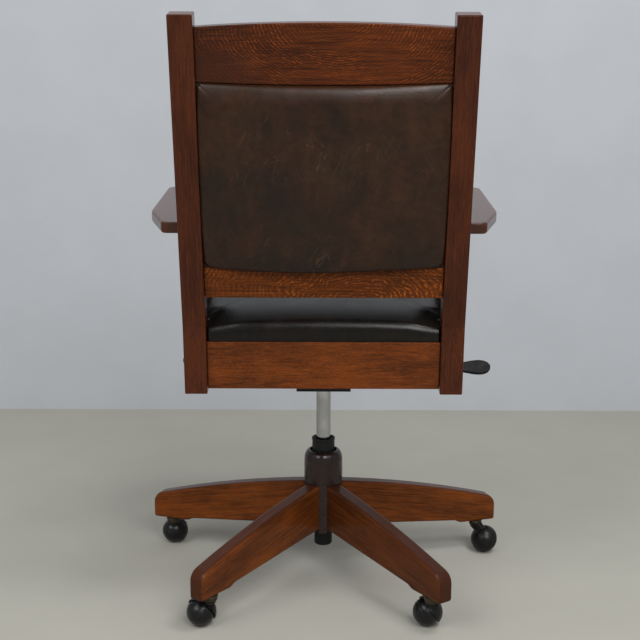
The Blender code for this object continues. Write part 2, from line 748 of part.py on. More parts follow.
def make_housing(column):
    """The pressed steel housing that stands on the lift's rod."""
    half = HOUSING_WIDTH / 2
    wall = HOUSING_WALL
    over = PIN_Z + WALL_OVER_PIN
    outline = [(-SHELF_FRONT, SHELF_Z), (-HOUSING_STEP, SHELF_Z), (-HOUSING_STEP, HOUSING_BOTTOM)]
    outline += [(HOUSING_REAR, HOUSING_BOTTOM), (HOUSING_REAR, WALL_REAR_Z)]
    outline += [(-PIN_FORWARD + PIN_WALL_REAR, over), (-PIN_FORWARD - PIN_WALL_FRONT, over)]
    outline.append((-SHELF_FRONT, WALL_FRONT_Z))
    housing = prism("tilt_housing", outline, -half, half, "YZ", black_steel(), column)
    top = over + 2 * BEYOND
    inside = [(-SHELF_FRONT + wall, SHELF_Z + wall), (-HOUSING_STEP + wall, SHELF_Z + wall)]
    inside += [(-HOUSING_STEP + wall, HOUSING_BOTTOM + wall), (HOUSING_REAR - wall, HOUSING_BOTTOM + wall)]
    inside += [(HOUSING_REAR - wall, top), (-SHELF_FRONT + wall, top)]
    cut(housing, prism("housing_inside", inside, -half + wall, half - wall, "YZ", None, column))
    crown = ROD_TOP + GAP + SOCKET_TUBE_CROWN
    join(housing, rod("socket_body", (0.0, 0.0, HOUSING_BOTTOM), (0.0, 0.0, crown), SOCKET_TUBE_RADIUS, None,
                      column, ROUND))
    bore = turned("socket_bore", [(0.0, HOUSING_BOTTOM - BEYOND), (ROD_RADIUS + GAP, HOUSING_BOTTOM - BEYOND),
                                  (ROD_RADIUS + GAP, ROD_TOP + GAP), (BUTTON_RADIUS + GAP, ROD_TOP + GAP),
                                  (BUTTON_RADIUS + GAP, crown + BEYOND), (0.0, crown + BEYOND)], None, column)
    cut(housing, bore)
    cut(housing, rod("pin_bore", (-half - BEYOND, -PIN_FORWARD, PIN_Z), (half + BEYOND, -PIN_FORWARD, PIN_Z),
                     PIN_RADIUS + GAP, None, column))
    cut(housing, rod("lever_bore", (-half - BEYOND, 0.0, LEVER_Z), (-half + BEYOND, 0.0, LEVER_Z),
                     LEVER_RADIUS + LEVER_HOLE, None, column))
    cut(housing, rod("lock_bore", (half - BEYOND, -LOCK_FORWARD, LOCK_Z), (half + BEYOND, -LOCK_FORWARD, LOCK_Z),
                     LEVER_RADIUS + GAP, None, column))
    rear = -PIN_FORWARD - BOLT_SLOT_REAR
    cut(housing, box("bolt_slot", (-BOLT_SLOT_WIDTH / 2, rear - BOLT_SLOT_LENGTH, SHELF_Z - BEYOND),
                     (BOLT_SLOT_WIDTH / 2, rear, SHELF_Z + BEYOND), None, column))
    outer = half + RUNNING_GAP + PLATE_THICKNESS + PIN_STICK_OUT
    rod("tilt_pin", (-outer, -PIN_FORWARD, PIN_Z), (outer, -PIN_FORWARD, PIN_Z), PIN_RADIUS, zinc(), column)


def make_levers(column):
    """The height lever with its paddle, and the tilt lock rod."""
    half = HOUSING_WIDTH / 2
    pivot = empty("lever_pivot", (-half + HOUSING_WALL / 2, 0.0, LEVER_Z), 0.0, 0.0, column)
    inner = half - HOUSING_WALL / 2 + LEVER_INSIDE
    sleeve = LEVER_TIP - PADDLE_SOCKET - (half - HOUSING_WALL / 2)
    rod("height_lever", (inner, 0.0, 0.0), (-sleeve, 0.0, 0.0), LEVER_RADIUS, black_steel(), pivot)
    tip = LEVER_TIP - (half - HOUSING_WALL / 2)
    middle = -(tip - PADDLE_LENGTH / 2)
    edge = [(PADDLE_LENGTH * (0.5 - along), PADDLE_WIDTH / 2 * across) for along, across in PADDLE_SHAPE]
    outline = edge + [(-PADDLE_LENGTH / 2, 0.0)] + [(along, -across) for along, across in reversed(edge)]
    paddle = prism("lever_paddle", outline, -PADDLE_THICKNESS / 2, PADDLE_THICKNESS / 2, "XY",
                   black_plastic(), pivot)
    paddle.location = (middle, 0.0, 0.0)
    paddle.rotation_euler = (-PADDLE_FACING, 0.0, 0.0)
    bevel(paddle, PADDLE_EDGE, 2, 50)
    radius = (PADDLE_WIDTH * DISH_SHARE) ** 2 / (2 * PADDLE_DISH)
    dish = bmesh.new()
    bmesh.ops.create_uvsphere(dish, u_segments=24, v_segments=24, radius=radius)
    bmesh.ops.transform(dish, matrix=Matrix.Diagonal((DISH_STRETCH, 1.0, 1.0, 1.0)), verts=dish.verts)
    bowl = add_mesh("paddle_dish", dish, None, paddle,
                    (-PADDLE_LENGTH / 6, 0.0, PADDLE_THICKNESS / 2 + radius - PADDLE_DISH))
    cut(paddle, bowl)
    cut(paddle, rod("paddle_bore", (PADDLE_LENGTH, 0.0, 0.0), (middle_depth(), 0.0, 0.0),
                    LEVER_RADIUS + GAP, None, paddle))
    smooth(paddle, 40)
    start = LOCK_TIP - LOCK_KNOB_LENGTH
    stop = start + LOCK_KNOB_BORE
    place = (0.0, -LOCK_FORWARD, LOCK_Z)
    profile = [(0.0, LOCK_INSIDE), (LEVER_RADIUS, LOCK_INSIDE), (LEVER_RADIUS, stop), (0.0, stop)]
    lock = turned("tilt_lock_rod", profile, black_steel(), column, place, SMALL_ROUND)
    lock.rotation_euler = (0.0, math.radians(90), 0.0)
    bore = LEVER_RADIUS + GAP
    ease = LOCK_KNOB_EASE
    knob = turned("tilt_lock_knob", [(0.0, stop + GAP), (bore, stop + GAP), (bore, start),
                                     (LOCK_KNOB_RADIUS, start + ease / 2),
                                     (LOCK_KNOB_RADIUS, LOCK_TIP - ease),
                                     (LOCK_KNOB_RADIUS - ease, LOCK_TIP), (0.0, LOCK_TIP)],
                  black_plastic(), column, place, SMALL_ROUND)
    knob.rotation_euler = (0.0, math.radians(90), 0.0)


def middle_depth():
    """How far the lever's rod reaches past the middle of its paddle."""
    return -(PADDLE_LENGTH / 2 - PADDLE_SOCKET) - GAP


def make_seat_plate(seat):
    """The tilting plate, the tension bolt, spring and knob."""
    under = PLATE_OVER_PIN
    over = under + PLATE_THICKNESS
    half = PLATE_WIDTH / 2
    plate = box("seat_plate", (-half, -PLATE_FRONT, under), (half, PLATE_REAR, over), black_steel(), seat)
    ear = HOUSING_WIDTH / 2 + RUNNING_GAP
    for side in (-1, 1):
        near, far = sorted((side * ear, side * (ear + PLATE_THICKNESS)))
        tab = box("ear_%d" % side, (near, -EAR_WIDTH / 2, -EAR_DROP),
                  (far, EAR_WIDTH / 2, under + PLATE_THICKNESS / 2), None, seat)
        join(plate, tab)
    cut(plate, rod("ear_bore", (-ear - 2 * BEYOND, 0.0, 0.0), (ear + 2 * BEYOND, 0.0, 0.0),
                   PIN_RADIUS + GAP, None, seat))
    cut(plate, rod("bolt_bore", (0.0, -BOLT_FORWARD, under - BEYOND), (0.0, -BOLT_FORWARD, over + BEYOND),
                   BOLT_RADIUS + GAP, None, seat))
    knob_top = -KNOB_TOP_DROP
    knob_low = knob_top - KNOB_HEIGHT
    head_low = over + GAP
    bolt_end = knob_low + BOLT_END
    place = (0.0, -BOLT_FORWARD, 0.0)
    profile = [(0.0, bolt_end), (BOLT_RADIUS, bolt_end), (BOLT_RADIUS, head_low)]
    profile += [(BOLT_HEAD_RADIUS, head_low), (BOLT_HEAD_RADIUS, head_low + BOLT_HEAD)]
    profile.append((0.0, head_low + BOLT_HEAD))
    turned("tension_bolt", profile, zinc(), seat, place, SMALL_ROUND)
    floor = knob_low + KNOB_FLOOR
    bore = BOLT_RADIUS + GAP
    small = KNOB_EASE / 3
    profile = [(bore, knob_low), (KNOB_RADIUS - KNOB_EASE, knob_low), (KNOB_RADIUS, knob_low + KNOB_EASE)]
    profile += [(KNOB_RADIUS, knob_top - small), (KNOB_RADIUS - small, knob_top)]
    profile += [(KNOB_RADIUS - KNOB_WALL, knob_top), (KNOB_RADIUS - KNOB_WALL, floor), (bore, floor)]
    turned("tension_knob", profile, black_plastic(), seat, place, KNOB_STEPS)
    make_spring(seat, floor)


def shelf_height():
    """The housing shelf's underside on the bolt's line, in the seat frame."""
    drop = PIN_Z - SHELF_Z
    return -(drop + BOLT_FORWARD * math.sin(SEAT_SLOPE)) / math.cos(SEAT_SLOPE)


def make_spring(seat, floor):
    """The tension spring, one unbroken wire from the knob's floor to the shelf."""
    low = floor + SPRING_WIRE + GAP
    high = shelf_height() - SPRING_WIRE - SPRING_RADIUS * math.sin(SEAT_SLOPE) - RUNNING_GAP
    curve = bpy.data.curves.new("tension_spring", "CURVE")
    curve.dimensions = "3D"
    curve.bevel_depth = SPRING_WIRE
    curve.bevel_resolution = 1
    curve.use_fill_caps = True
    count = SPRING_TURNS * CURL_POINTS
    line = curve.splines.new("POLY")
    line.points.add(count)
    for k in range(count + 1):
        angle = 2 * math.pi * SPRING_TURNS * k / count
        height = low + (high - low) * k / count
        line.points[k].co = (SPRING_RADIUS * math.cos(angle), SPRING_RADIUS * math.sin(angle), height, 1.0)
    points = [Vector(point.co[:3]) for point in line.points]
    apart = min((first - second).length for i, first in enumerate(points)
                for second in points[i + CURL_POINTS // 2:])
    print("least gap between the spring's curls: %.2f mm" % (1000 * (apart - 2 * SPRING_WIRE)))
    curve.materials.append(zinc())
    spring = bpy.data.objects.new("tension_spring", curve)
    bpy.context.collection.objects.link(spring)
    spring.parent = seat
    spring.location = (0.0, -BOLT_FORWARD, 0.0)


def post_front(height):
    """How far back the posts' front face lies at a height of the seat frame."""
    bend = BEND_Z + POST_DEPTH * math.tan(RAKE / 2)
    return POST_REAR - POST_DEPTH + max(0.0, height - bend) * math.tan(RAKE)


def make_posts(seat):
    """The two back posts, straight to the bend and raked above it."""
    top = (POST_REAR + POST_UPPER * math.sin(RAKE), BEND_Z + POST_UPPER * math.cos(RAKE))
    front_top = (top[0] - POST_DEPTH * math.cos(RAKE), top[1] + POST_DEPTH * math.sin(RAKE))
    outline = [(POST_REAR, POST_FOOT), (POST_REAR, BEND_Z), top, front_top]
    outline += [(POST_REAR - POST_DEPTH, BEND_Z + POST_DEPTH * math.tan(RAKE / 2)),
                (POST_REAR - POST_DEPTH, POST_FOOT)]
    posts = {}
    for hand, side in (("left", 1), ("right", -1)):
        near, far = sorted((side * (BACK_WIDTH / 2 - POST_WIDTH), side * BACK_WIDTH / 2))
        post = prism("back_post_" + hand, outline, near, far, "YZ", oak(), seat)
        posts[side] = bevel(post, WOOD_EDGE, 2, 40)
    return posts


def tenoned_rail(name, rail, posts, low, high, middle, frame):
    """Gives a cross rail a tenon at each end and cuts its mortises in the posts."""
    inner = BACK_WIDTH / 2 - POST_WIDTH
    thin = TENON_THICKNESS / 2
    for side in (-1, 1):
        near, far = sorted((side * (inner - TENON_ROOT), side * (inner + TENON_LENGTH - GAP)))
        tenon = box("%s_tenon_%d" % (name, side), (near, middle - thin, low + TENON_SHOULDER),
                    (far, middle + thin, high - TENON_SHOULDER), None, frame)
        join(rail, tenon)
        near, far = sorted((side * (inner - TENON_ROOT), side * (inner + TENON_LENGTH)))
        mortise = box("%s_mortise_%d" % (name, side),
                      (near, middle - thin - GAP, low + TENON_SHOULDER - GAP),
                      (far, middle + thin + GAP, high - TENON_SHOULDER + GAP), None, frame)
        cut(posts[side], mortise)


def make_back(seat, posts):
    """Crest rail, lower rail, board and the two pads, in the raked frame of the back."""
    back = empty("back_frame", (0.0, POST_REAR, BEND_Z), -RAKE, 0.0, seat)
    half = BACK_WIDTH / 2 - POST_WIDTH - GAP
    middle = -POST_DEPTH / 2
    near = middle - RAIL_THICKNESS / 2
    far = middle + RAIL_THICKNESS / 2
    crest_top = CREST_BOTTOM + CREST_HEIGHT
    outline = bowed((-half, crest_top), (half, crest_top), CREST_ARCH, 10) + [(half, crest_top)]
    outline += bowed((half, CREST_BOTTOM), (-half, CREST_BOTTOM), -CREST_BOW, 10) + [(-half, CREST_BOTTOM)]
    crest = bevel(prism("crest_rail", outline, near, far, "XZ", oak(), back), WOOD_EDGE, 2, 40)
    tenoned_rail("crest", crest, posts, CREST_BOTTOM, crest_top, middle, back)
    low_top = LOWER_RAIL_BOTTOM + LOWER_RAIL_HEIGHT
    lower = box("lower_back_rail", (-half, near, LOWER_RAIL_BOTTOM), (half, far, low_top), oak(), back)
    bevel(lower, WOOD_EDGE, 2, 40)
    tenoned_rail("lower", lower, posts, LOWER_RAIL_BOTTOM, low_top, middle, back)
    board_top = CREST_BOTTOM - GAP
    board_low = low_top + GAP
    board = (middle - BOARD_THICKNESS / 2, middle + BOARD_THICKNESS / 2)
    outline = bowed((half, board_top), (-half, board_top), -CREST_BOW, 10)
    outline += [(-half, board_top), (-half, board_low), (half, board_low)]
    prism("back_board", outline, board[0], board[1], "XZ", backing(), back)
    wide = BACK_WIDTH / 2 - POST_WIDTH - PAD_CLEARANCE
    tall = (board_top - board_low) / 2 - PAD_CLEARANCE
    height = (board_top + board_low) / 2
    padded("back_pad_rear", wide, tall, REAR_PAD, back, (0.0, board[1] + GAP, height), math.radians(-90))
    padded("back_pad_front", wide, tall, FRONT_PAD, back, (0.0, board[0] - GAP, height), math.radians(-90),
           math.radians(180))


def make_seat_frame(seat, posts):
    """The four seat rails and what is fixed inside them."""
    middle = POST_REAR - POST_DEPTH / 2
    near = middle - RAIL_THICKNESS / 2
    far = middle + RAIL_THICKNESS / 2
    half = BACK_WIDTH / 2 - POST_WIDTH - GAP
    top = RAIL_BOTTOM + RAIL_HEIGHT
    rear = box("rear_seat_rail", (-half, near, RAIL_BOTTOM), (half, far, top), oak(), seat)
    bevel(rear, WOOD_EDGE, 2, 40)
    tenoned_rail("rear", rear, posts, RAIL_BOTTOM, top, middle, seat)
    post_middle = BACK_WIDTH / 2 - POST_WIDTH / 2
    rail_in = post_middle - RAIL_THICKNESS / 2
    rail_out = post_middle + RAIL_THICKNESS / 2
    front_back = -FRONT_RAIL_FACE + RAIL_THICKNESS
    front = box("front_seat_rail", (-rail_out, -FRONT_RAIL_FACE, RAIL_BOTTOM), (rail_out, front_back, top),
                oak(), seat)
    bevel(front, WOOD_EDGE, 2, 40)
    post_face = POST_REAR - POST_DEPTH
    thin = TENON_THICKNESS / 2
    for hand, side in (("left", 1), ("right", -1)):
        low, high = sorted((side * rail_in, side * rail_out))
        rail = box("side_seat_rail_" + hand, (low, front_back + GAP, RAIL_BOTTOM),
                   (high, post_face - GAP, top), oak(), seat)
        bevel(rail, WOOD_EDGE, 2, 40)
        x = side * post_middle
        for end, start, stop, target in (
                ("rear", post_face - TENON_ROOT, post_face + SIDE_TENON_LENGTH, posts[side]),
                ("front", front_back - SIDE_TENON_LENGTH, front_back + TENON_ROOT, front)):
            inner = (x - thin, start + GAP, RAIL_BOTTOM + TENON_SHOULDER)
            outer = (x + thin, stop - GAP, top - TENON_SHOULDER)
            join(rail, box("tenon_%s_%s" % (hand, end), inner, outer, None, seat))
            inner = (x - thin - GAP, start, RAIL_BOTTOM + TENON_SHOULDER - GAP)
            outer = (x + thin + GAP, stop, top - TENON_SHOULDER + GAP)
            cut(target, box("mortise_%s_%s" % (hand, end), inner, outer, None, seat))
        low, high = sorted((side * (rail_in - GAP), side * (rail_in - GAP - LEDGER_WIDTH)))
        ledger_top = top - SEAT_BOARD - GAP
        box("seat_ledger_" + hand, (low, front_back + GAP, ledger_top - LEDGER_HEIGHT),
            (high, post_face - GAP, ledger_top), oak(), seat)
        corner = (side * (rail_in - GAP), front_back + GAP)
        outline = [corner, (corner[0] - side * BLOCK_SIDE, corner[1]), (corner[0], corner[1] + BLOCK_SIDE)]
        prism("corner_block_" + hand, outline, RAIL_BOTTOM, RAIL_BOTTOM + BLOCK_HEIGHT, "XY", oak(), seat)
    wide = rail_in - GAP
    for place, y in (("front", -BATTEN_FRONT), ("rear", BATTEN_REAR)):
        low = PLATE_OVER_PIN + PLATE_THICKNESS + GAP
        box("batten_" + place, (-wide, y - BATTEN_WIDTH / 2, low),
            (wide, y + BATTEN_WIDTH / 2, low + BATTEN_HEIGHT), oak(), seat)
    box("seat_board", (-half, front_back + GAP, top - SEAT_BOARD), (half, near - GAP, top), backing(), seat)
    rear_edge = far - CUSHION_REAR_SETBACK
    cushion = padded("seat_cushion", CUSHION_WIDTH / 2, (rear_edge + CUSHION_FRONT) / 2, CUSHION, seat,
                     (0.0, (rear_edge - CUSHION_FRONT) / 2, top + GAP))
    notch = BACK_WIDTH / 2 - POST_WIDTH - CUSHION_CLEARANCE
    for side in (-1, 1):
        low, high = sorted((side * notch, side * BACK_WIDTH))
        cut(cushion, box("cushion_notch_%d" % side, (low, post_face - CUSHION_CLEARANCE, top - SEAT_BOARD),
                         (high, POST_REAR, top + 2 * CUSHION.roll), None, seat))


def make_arms(seat):
    """The flat arms, clipped at the outer rear corner, and their supports."""
    under = ARM_TOP - ARM_THICKNESS
    rear = post_front(under) - GAP
    rail_out = BACK_WIDTH / 2 - POST_WIDTH / 2 + RAIL_THICKNESS / 2
    for hand, side in (("left", 1), ("right", -1)):
        corners = [(side * ARM_INNER, rear, 0.0), (side * (ARM_OUTER - ARM_CLIP_WIDTH), rear, ARM_END_ROUND)]
        corners += [(side * ARM_OUTER, rear - ARM_CLIP_LENGTH, ARM_CLIP_ROUND)]
        corners += [(side * ARM_OUTER, -ARM_FRONT, ARM_CORNER), (side * ARM_INNER, -ARM_FRONT, ARM_CORNER)]
        arm = prism("arm_" + hand, rounded(corners), under, ARM_TOP, "XY", oak(), seat)
        for point in arm.data.vertices:
            if point.co.y > rear - GAP and point.co.z > under + ARM_THICKNESS / 2:
                point.co.y += ARM_THICKNESS * math.tan(RAKE)
        bevel(arm, ARM_EDGE, 3, 40)
        near, far = sorted((side * (rail_out + GAP), side * (rail_out + GAP + SUPPORT_WIDTH)))
        front = -ARM_FRONT + SUPPORT_SETBACK
        support = box("arm_support_" + hand, (near, front, POST_FOOT),
                      (far, front + SUPPORT_DEPTH, under - GAP), oak(), seat)
        bevel(support, WOOD_EDGE, 2, 40)


def main():
    clear_scene()
    column = empty("column", (COLUMN_X, COLUMN_Y, 0.0))
    make_hub(column)
    make_legs(column)
    for name, bearing, trail in CASTERS:
        make_caster(name, bearing, trail, column)
    make_lift(column)
    make_housing(column)
    make_levers(column)
    seat = empty("seat_frame", (0.0, -PIN_FORWARD, PIN_Z), -SEAT_SLOPE, 0.0, column)
    make_seat_plate(seat)
    posts = make_posts(seat)
    make_back(seat, posts)
    make_seat_frame(seat, posts)
    make_arms(seat)


main()
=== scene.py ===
"""A mission style desk chair in stained oak and dark leather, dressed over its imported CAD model."""
import logging
import math
from dataclasses import dataclass
from enum import Enum
from functools import cache
from typing import Sequence

import bmesh
import bpy
from mathutils import Euler, Matrix, Vector, noise


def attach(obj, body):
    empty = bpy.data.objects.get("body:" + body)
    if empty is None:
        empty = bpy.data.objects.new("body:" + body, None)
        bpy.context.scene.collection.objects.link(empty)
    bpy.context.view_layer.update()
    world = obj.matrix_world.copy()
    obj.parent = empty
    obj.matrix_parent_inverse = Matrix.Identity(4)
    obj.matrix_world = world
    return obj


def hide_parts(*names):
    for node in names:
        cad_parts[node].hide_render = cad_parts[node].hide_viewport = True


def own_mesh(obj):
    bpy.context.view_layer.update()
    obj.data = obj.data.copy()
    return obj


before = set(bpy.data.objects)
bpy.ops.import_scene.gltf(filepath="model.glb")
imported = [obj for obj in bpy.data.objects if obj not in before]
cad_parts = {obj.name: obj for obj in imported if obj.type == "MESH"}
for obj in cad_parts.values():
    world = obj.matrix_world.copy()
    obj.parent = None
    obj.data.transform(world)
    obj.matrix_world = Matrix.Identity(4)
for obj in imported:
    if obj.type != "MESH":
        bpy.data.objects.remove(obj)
log = logging.getLogger("desk_chair")

Triple = tuple[float, float, float]
Colour = Triple
Profile = list[tuple[float, float]]
Mesh = bmesh.types.BMesh
Material = bpy.types.Material
Object = bpy.types.Object
Socket = bpy.types.NodeSocket
Tree = bpy.types.NodeTree

SHARP = math.radians(38)
TINY = 1e-7


def srgb(red: float, green: float, blue: float) -> Colour:
    """Turns screen values of 0 to 255 into a linear colour and returns it."""
    shares = (red / 255, green / 255, blue / 255)
    return tuple(v / 12.92 if v <= 0.04045 else ((v + 0.055) / 1.055) ** 2.4 for v in shares)


# Where things stand, in metres, as in the part's source


@dataclass(frozen=True)
class Datum:
    """The frames of the chair: its column, the sloped seat and the raked back."""

    column_x: float = 0.0044
    column_y: float = -0.0032
    pin_forward: float = 0.0625
    pin_z: float = 0.4560
    slope: float = math.radians(6.3)
    rake: float = math.radians(6.15)
    post_rear: float = 0.3170
    bend_z: float = 0.1245
    leg_turn: float = 0.8

    def column(self) -> Matrix:
        """Returns the matrix of the column's foot."""
        return Matrix.Translation((self.column_x, self.column_y, 0.0))

    def seat(self) -> Matrix:
        """Returns the matrix of the tilting seat, at the tilt pin."""
        place = Matrix.Translation((0.0, -self.pin_forward, self.pin_z))
        return self.column() @ place @ Matrix.Rotation(-self.slope, 4, "X")

    def back(self) -> Matrix:
        """Returns the matrix of the raked back, at the posts' bend."""
        place = Matrix.Translation((0.0, self.post_rear, self.bend_z))
        return self.seat() @ place @ Matrix.Rotation(-self.rake, 4, "X")

    def leg_angle(self, bearing: float) -> float:
        """Returns the angle from +X of a leg, from its bearing in degrees off the chair's rear."""
        return math.radians(90.0 - bearing - self.leg_turn)


DATUM = Datum()
BEARINGS = {"rear_left": 36.0, "side_left": 108.0, "front": 180.0, "side_right": -108.0,
            "rear_right": -36.0}
# Which way each caster trails in the photograph
TRAILS = {"rear_left": (0.83, -0.55), "side_left": (0.05, -1.0), "front": (-0.90, 0.40),
          "side_right": (-0.85, 0.53), "rear_right": (0.27, -0.96)}


# Node building


class Graph:
    """Builds the nodes of one node tree, with short calls for the sums that textures need."""

    def __init__(self, tree: Tree) -> None:
        """Starts on a node tree."""
        self.tree = tree
        self.count = 0

    def node(self, kind: str, settings: dict | None = None, **values: object) -> bpy.types.Node:
        """Adds a node.

        Args:
            kind: The node's type without its ShaderNode prefix, or a full name.
            settings: Attributes to set on the node.
            values: Inputs by name, with underscores for spaces; a socket is linked.

        Returns:
            The node.
        """
        full = kind if kind.startswith("Node") else "ShaderNode" + kind
        made = self.tree.nodes.new(full)
        made.location = (180 * (self.count % 12), -220 * (self.count // 12))
        self.count += 1
        for name, value in (settings or {}).items():
            setattr(made, name, value)
        return self.wire(made, **values)

    def wire(self, node: bpy.types.Node, **values: object) -> bpy.types.Node:
        """Links or sets a node's inputs by name, with underscores for spaces, and returns the node."""
        for name, value in values.items():
            self.feed(node.inputs[name.replace("_", " ")], value)
        return node

    def feed(self, socket: Socket, value: object) -> None:
        """Links a socket to an input, or sets its value."""
        if isinstance(value, Socket):
            self.tree.links.new(value, socket)
        else:
            socket.default_value = (*value, 1.0) if socket.type == "RGBA" else value

    def math(self, operation: str, *terms: object, clamp: bool = False) -> Socket:
        """Does a sum on one or two terms and returns its result."""
        made = self.node("Math", {"operation": operation, "use_clamp": clamp})
        for socket, term in zip(made.inputs, terms):
            self.feed(socket, term)
        return made.outputs[0]

    def plus(self, first: object, second: object) -> Socket:
        """Adds two values and returns the sum."""
        return self.math("ADD", first, second)

    def times(self, first: object, second: object, clamp: bool = False) -> Socket:
        """Multiplies two values and returns the product."""
        return self.math("MULTIPLY", first, second, clamp=clamp)

    def centred(self, value: object) -> Socket:
        """Shifts a value of 0 to 1 down by half and returns it."""
        return self.math("SUBTRACT", value, 0.5)

    def vector(self, operation: str, *terms: object) -> Socket:
        """Does a vector sum and returns its vector, or its value where it has one."""
        made = self.node("VectorMath", {"operation": operation})
        for socket, term in zip(made.inputs, terms):
            self.feed(socket, term)
        return made.outputs["Value" if operation in {"DOT_PRODUCT", "LENGTH"} else "Vector"]

    def join(self, x: object, y: object, z: object) -> Socket:
        """Joins three values into a vector and returns it."""
        return self.node("CombineXYZ", None, X=x, Y=y, Z=z).outputs[0]

    def ramp(self, value: object, low: float, high: float, to_low: float = 0.0,
             to_high: float = 1.0) -> Socket:
        """Maps a value smoothly from one range to another and returns it."""
        made = self.node("MapRange", {"interpolation_type": "SMOOTHSTEP"}, Value=value, From_Min=low,
                         From_Max=high, To_Min=to_low, To_Max=to_high)
        return made.outputs["Result"]

    def noise(self, where: object, scale: object, detail: float = 2.0, rough: float = 0.5) -> Socket:
        """Adds a noise texture and returns its value."""
        made = self.node("TexNoise", None, Vector=where, Scale=scale, Detail=detail, Roughness=rough)
        return made.outputs["Fac"]

    def figure(self, where: object, sizes: Triple, detail: float = 2.0, rough: float = 0.5) -> Socket:
        """Adds a noise with a scale for each axis and returns its value."""
        return self.noise(self.vector("MULTIPLY", where, sizes), 1.0, detail, rough)

    def blend(self, share: object, first: object, second: object, mode: str = "MIX") -> Socket:
        """Mixes two colours and returns the result."""
        made = self.node("Mix", {"data_type": "RGBA", "blend_type": mode})
        for index, value in ((0, share), (6, first), (7, second)):
            self.feed(made.inputs[index], value)
        return made.outputs[2]

    def shade(self, colour: object, value: object) -> Socket:
        """Multiplies a colour by a value and returns it."""
        grey = self.node("CombineColor", None, Red=value, Green=value, Blue=value).outputs[0]
        return self.blend(1.0, colour, grey, "MULTIPLY")


def new_group(name: str, inputs: dict[str, Sequence[str]]) -> tuple[Graph, dict]:
    """Starts a shader node group that gives a colour, a roughness and a height.

    Args:
        name: The group's name.
        inputs: The names of its inputs, by socket type.

    Returns:
        Its graph builder and its input sockets by name.
    """
    tree = bpy.data.node_groups.new(name, "ShaderNodeTree")
    for kind, titles in inputs.items():
        for title in titles:
            tree.interface.new_socket(title, in_out="INPUT", socket_type="NodeSocket" + kind)
    for title, kind in (("Color", "Color"), ("Roughness", "Float"), ("Height", "Float")):
        tree.interface.new_socket(title, in_out="OUTPUT", socket_type="NodeSocket" + kind)
    graph = Graph(tree)
    start = graph.node("NodeGroupInput")
    return graph, {title: start.outputs[title] for titles in inputs.values() for title in titles}


def end_group(graph: Graph, colour: object, rough: object, height: object) -> Tree:
    """Links a group's results to its outputs and returns its tree."""
    graph.node("NodeGroupOutput", None, Color=colour, Roughness=rough, Height=height)
    return graph.tree


@dataclass(frozen=True)
class Grain:
    """The oak's figure: how often each part repeats in a metre along, across and through a board."""

    drift: Triple = (2.2, 7.0, 7.0)
    streak: Triple = (4.0, 260.0, 190.0)
    thread: Triple = (14.0, 760.0, 620.0)
    pores: Triple = (40.0, 1150.0, 1000.0)
    cloud: Triple = (6.0, 16.0, 16.0)
    swirl: Triple = (16.0, 26.0, 12.0)
    region: Triple = (13.0, 26.0, 9.0)
    smudge: Triple = (9.0, 30.0, 30.0)
    jitter: float = 105.0
    dashes: float = 300.0
    pore_brown: Colour = srgb(30, 15, 10)
    shade_brown: Colour = srgb(40, 20, 13)
    smudge_brown: Colour = srgb(44, 22, 15)
    smoke_brown: Colour = srgb(46, 27, 22)
    # Colour of the painted shade on a board's narrow faces and edges
    edge_shade_brown: Colour = srgb(54, 29, 21)


